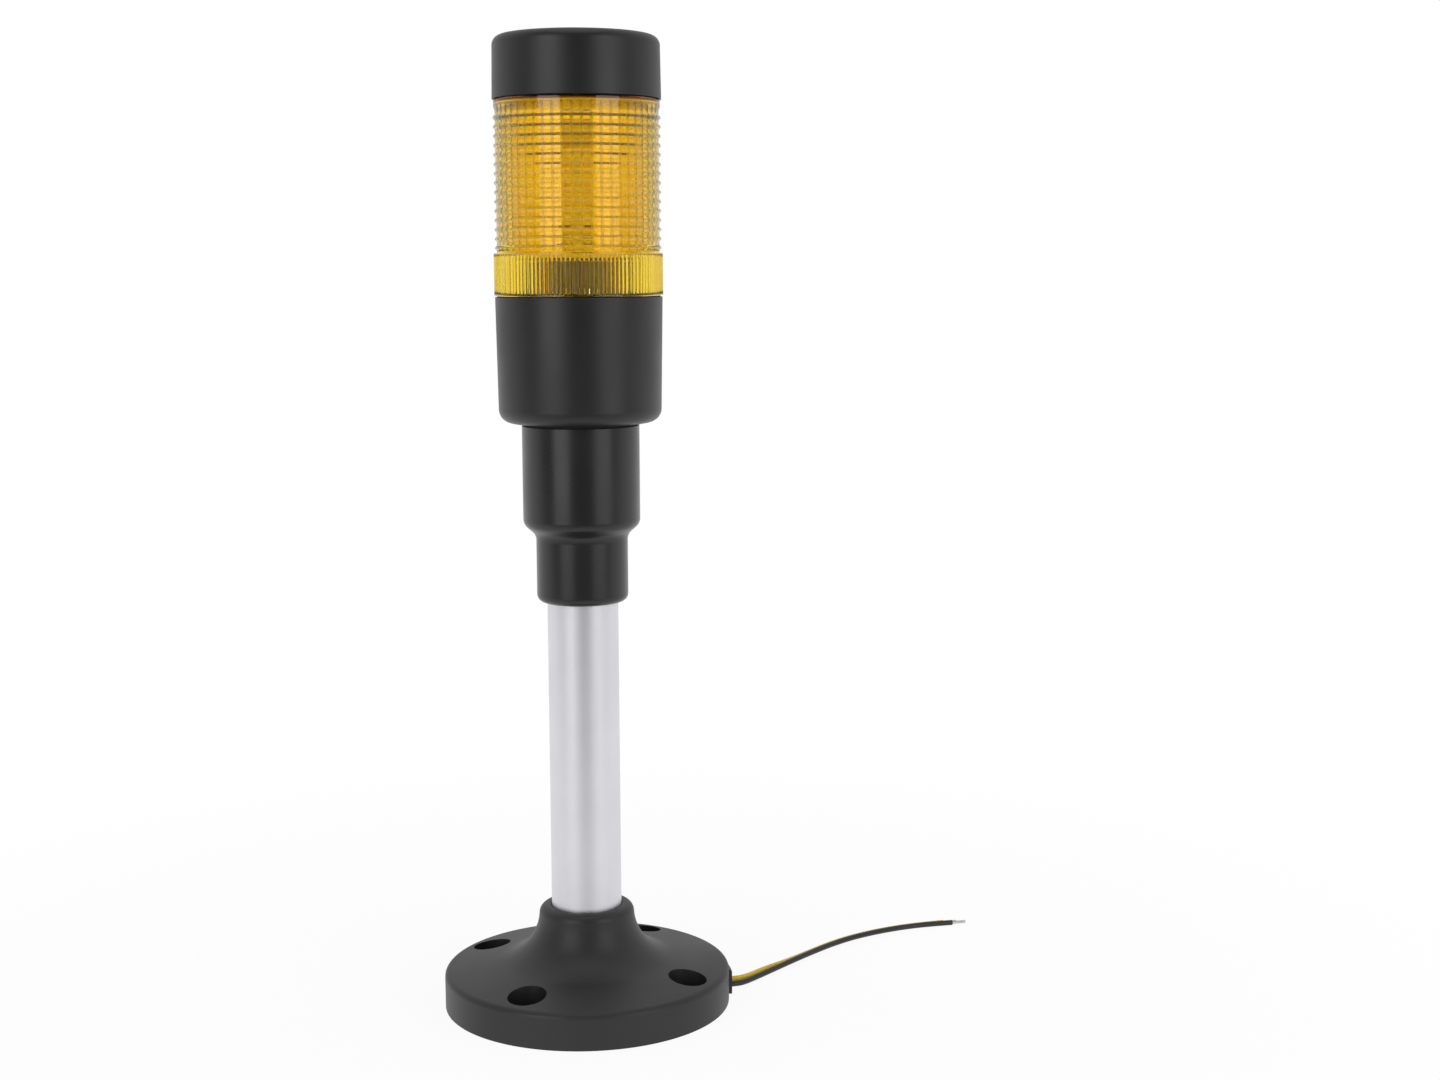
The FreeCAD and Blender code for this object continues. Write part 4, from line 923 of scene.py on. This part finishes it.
def makePackage(tree, given):  # a block whose front face is cut in to a cup with a resin floor
    size = vectorOf(tree, given["Width"], given["Depth"], given["Height"])
    block = addNode(tree, "GeometryNodeMeshCube", {"Size": size}).outputs["Mesh"]
    toward = axesOf(tree, addNode(tree, "GeometryNodeInputNormal").outputs[0])["Y"]
    front = compute(tree, "LESS_THAN", toward, -0.5)
    inputs = {"Mesh": block, "Selection": front, "Offset Scale": 0.0}
    rim = addNode(tree, "GeometryNodeExtrudeMesh", inputs, mode="FACES").outputs
    inputs = {"Geometry": rim["Mesh"], "Selection": rim["Top"], "Scale": given["Cup Share"]}
    cup = addNode(tree, "GeometryNodeScaleElements", inputs).outputs[0]
    sunk = multiply(tree, given["Cup Depth"], -1.0)
    inputs = {"Mesh": cup, "Selection": rim["Top"], "Offset Scale": sunk}
    floor = addNode(tree, "GeometryNodeExtrudeMesh", inputs, mode="FACES").outputs
    return storeMark(tree, floor["Mesh"], "resin", 1.0, "FACE", floor["Top"])


def makePackages():
    tree, given, result = geometryTree("ledPackages", packages)
    package = makePackage(tree, given)
    tall = multiply(tree, subtract(tree, given["Rows"], 1.0), given["Row Pitch"])
    inputs = {"Size X": given["Column Gap"], "Size Y": tall, "Vertices X": given["Columns"],
              "Vertices Y": given["Rows"]}
    grid = addNode(tree, "GeometryNodeMeshGrid", inputs).outputs["Mesh"]
    away = add(tree, given["Board Face"], divide(tree, given["Depth"], 2.0))
    middle = divide(tree, add(tree, tall, given["Height"]), 2.0)
    place = vectorOf(tree, y=multiply(tree, away, -1.0), z=middle)
    inputs = {"Geometry": grid, "Translation": place, "Rotation": (math.pi / 2, 0.0, 0.0)}
    upright = addNode(tree, "GeometryNodeTransform", inputs).outputs[0]
    inputs = {"Points": upright, "Instance": package}
    placed = addNode(tree, "GeometryNodeInstanceOnPoints", inputs).outputs[0]
    inputs = {"Geometry": placed, "Rotation": (0.0, 0.0, math.pi)}
    behind = addNode(tree, "GeometryNodeTransform", inputs).outputs[0]
    plain = realized(tree, joined(tree, placed, behind))
    white = dressed(tree, plain, packageMaterial)
    resin = dressed(tree, white, finishes["led_chips"], markOf(tree, "resin"))
    feed(tree, result["Geometry"], resin)
    blank = bpy.data.meshes.new("ledPackages")
    piece = addPiece("ledPackages", blank, "light_module", ["led_chips"])
    mesh = bakeTree(piece, tree, packages)
    mesh.transform(Matrix.Translation((0.0, 0.0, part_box("led_chips")[0][2])))
    print("LED packages made:", len(mesh.vertices), "points")


makePackages()


# studio: pale floor, two tall softboxes in front, a soft light above
studio = {
    "floorSide": 12.0,
    "floorDrop": 0.05 * mm,
    "floorColor": (0.95, 0.95, 0.95, 1.0),
    "shadowShare": 0.08,
    "shadowReach": (0.06, 0.35),
    "frontFloor": 0.25,
    "frontReach": (-0.1, -0.5),
    "fill": 0.45,
    "glossReach": (-0.55, 0.15),
    "frontGrey": 0.12,
    "backGrey": 0.8,
    "target": (0.0, 0.0, 0.16),
}
softboxes = {
    "softboxLeft": {"turn": -34.6, "away": 1.1, "height": 0.2, "size": (0.62, 1.5), "level": 2.2},
    "softboxRight": {"turn": 46.8, "away": 1.1, "height": 0.2, "size": (0.66, 1.5), "level": 1.8},
    "softboxTop": {"turn": 0.0, "away": 0.35, "height": 1.5, "size": (0.9, 0.9), "level": 0.8},
}


def makeSoftbox(name, box):
    light = bpy.data.lights.new(name, "AREA")
    light.shape = "RECTANGLE"
    light.size, light.size_y = box["size"]
    light.energy = box["level"] * math.pi * light.size * light.size_y
    lamp = bpy.data.objects.new(name, light)
    turn = math.radians(box["turn"])
    lamp.location = (box["away"] * math.sin(turn), -box["away"] * math.cos(turn), box["height"])
    toTarget = Vector(studio["target"]) - lamp.location
    lamp.rotation_euler = toTarget.to_track_quat("-Z", "Y").to_euler()
    scene.collection.objects.link(lamp)


def directRays(tree, rays):  # seen by the camera itself, also through the lens
    return larger(tree, rays["Is Camera Ray"], rays["Is Transmission Ray"])


def makeWorld():
    world = bpy.data.worlds.new("studioWorld")
    world.use_nodes = True
    scene.world = world
    tree = world.node_tree
    rays = addNode(tree, "ShaderNodeLightPath").outputs
    forward = axesOf(tree, addNode(tree, "ShaderNodeTexCoord").outputs["Generated"])["Y"]
    greys = (studio["frontGrey"], studio["backGrey"])
    inGloss = spread(tree, forward, studio["glossReach"], greys)
    level = blendNumbers(tree, rays["Is Glossy Ray"], studio["fill"], inGloss)
    level = blendNumbers(tree, directRays(tree, rays), level, 1.0)
    background = tree.nodes["Background"]
    tree.links.new(level, background.inputs["Strength"])
    background.inputs["Color"].default_value = (1.0, 1.0, 1.0, 1.0)


def makeFloor():
    half, low = studio["floorSide"] / 2, -studio["floorDrop"]
    corners = [(-half, -half, low), (half, -half, low), (half, half, low), (-half, half, low)]
    mesh = bpy.data.meshes.new("floor")
    mesh.from_pydata(corners, [], [(0, 1, 2, 3)])
    floor = bpy.data.objects.new("floor", mesh)
    scene.collection.objects.link(floor)
    material, tree, surface = newMaterial("paleFloor")
    tree.nodes.remove(surface)
    place = objectPlace(tree)
    rays = addNode(tree, "ShaderNodeLightPath").outputs
    direct = directRays(tree, rays)
    shadowless = (1.0 - studio["shadowShare"], 1.0)
    bright = spread(tree, lengthOf(tree, place), studio["shadowReach"], shadowless)
    share = multiply(tree, larger(tree, direct, rays["Is Glossy Ray"]), bright)
    forward = axesOf(tree, place)["Y"]
    inFront = spread(tree, forward, studio["frontReach"], (1.0, studio["frontFloor"]))
    strength = blendNumbers(tree, direct, inFront, 1.0)
    matte = addNode(tree, "ShaderNodeBsdfDiffuse", {"Color": studio["floorColor"]}).outputs[0]
    white = addNode(tree, "ShaderNodeEmission", {"Strength": strength}).outputs[0]
    mixed = addNode(tree, "ShaderNodeMixShader", {0: share, 1: matte, 2: white}).outputs[0]
    tree.links.new(mixed, tree.nodes["Material Output"].inputs["Surface"])
    mesh.materials.append(material)


makeWorld()
makeFloor()
for name, box in softboxes.items():
    makeSoftbox(name, box)
scene.view_settings.view_transform = "Standard"
print("studio lit")
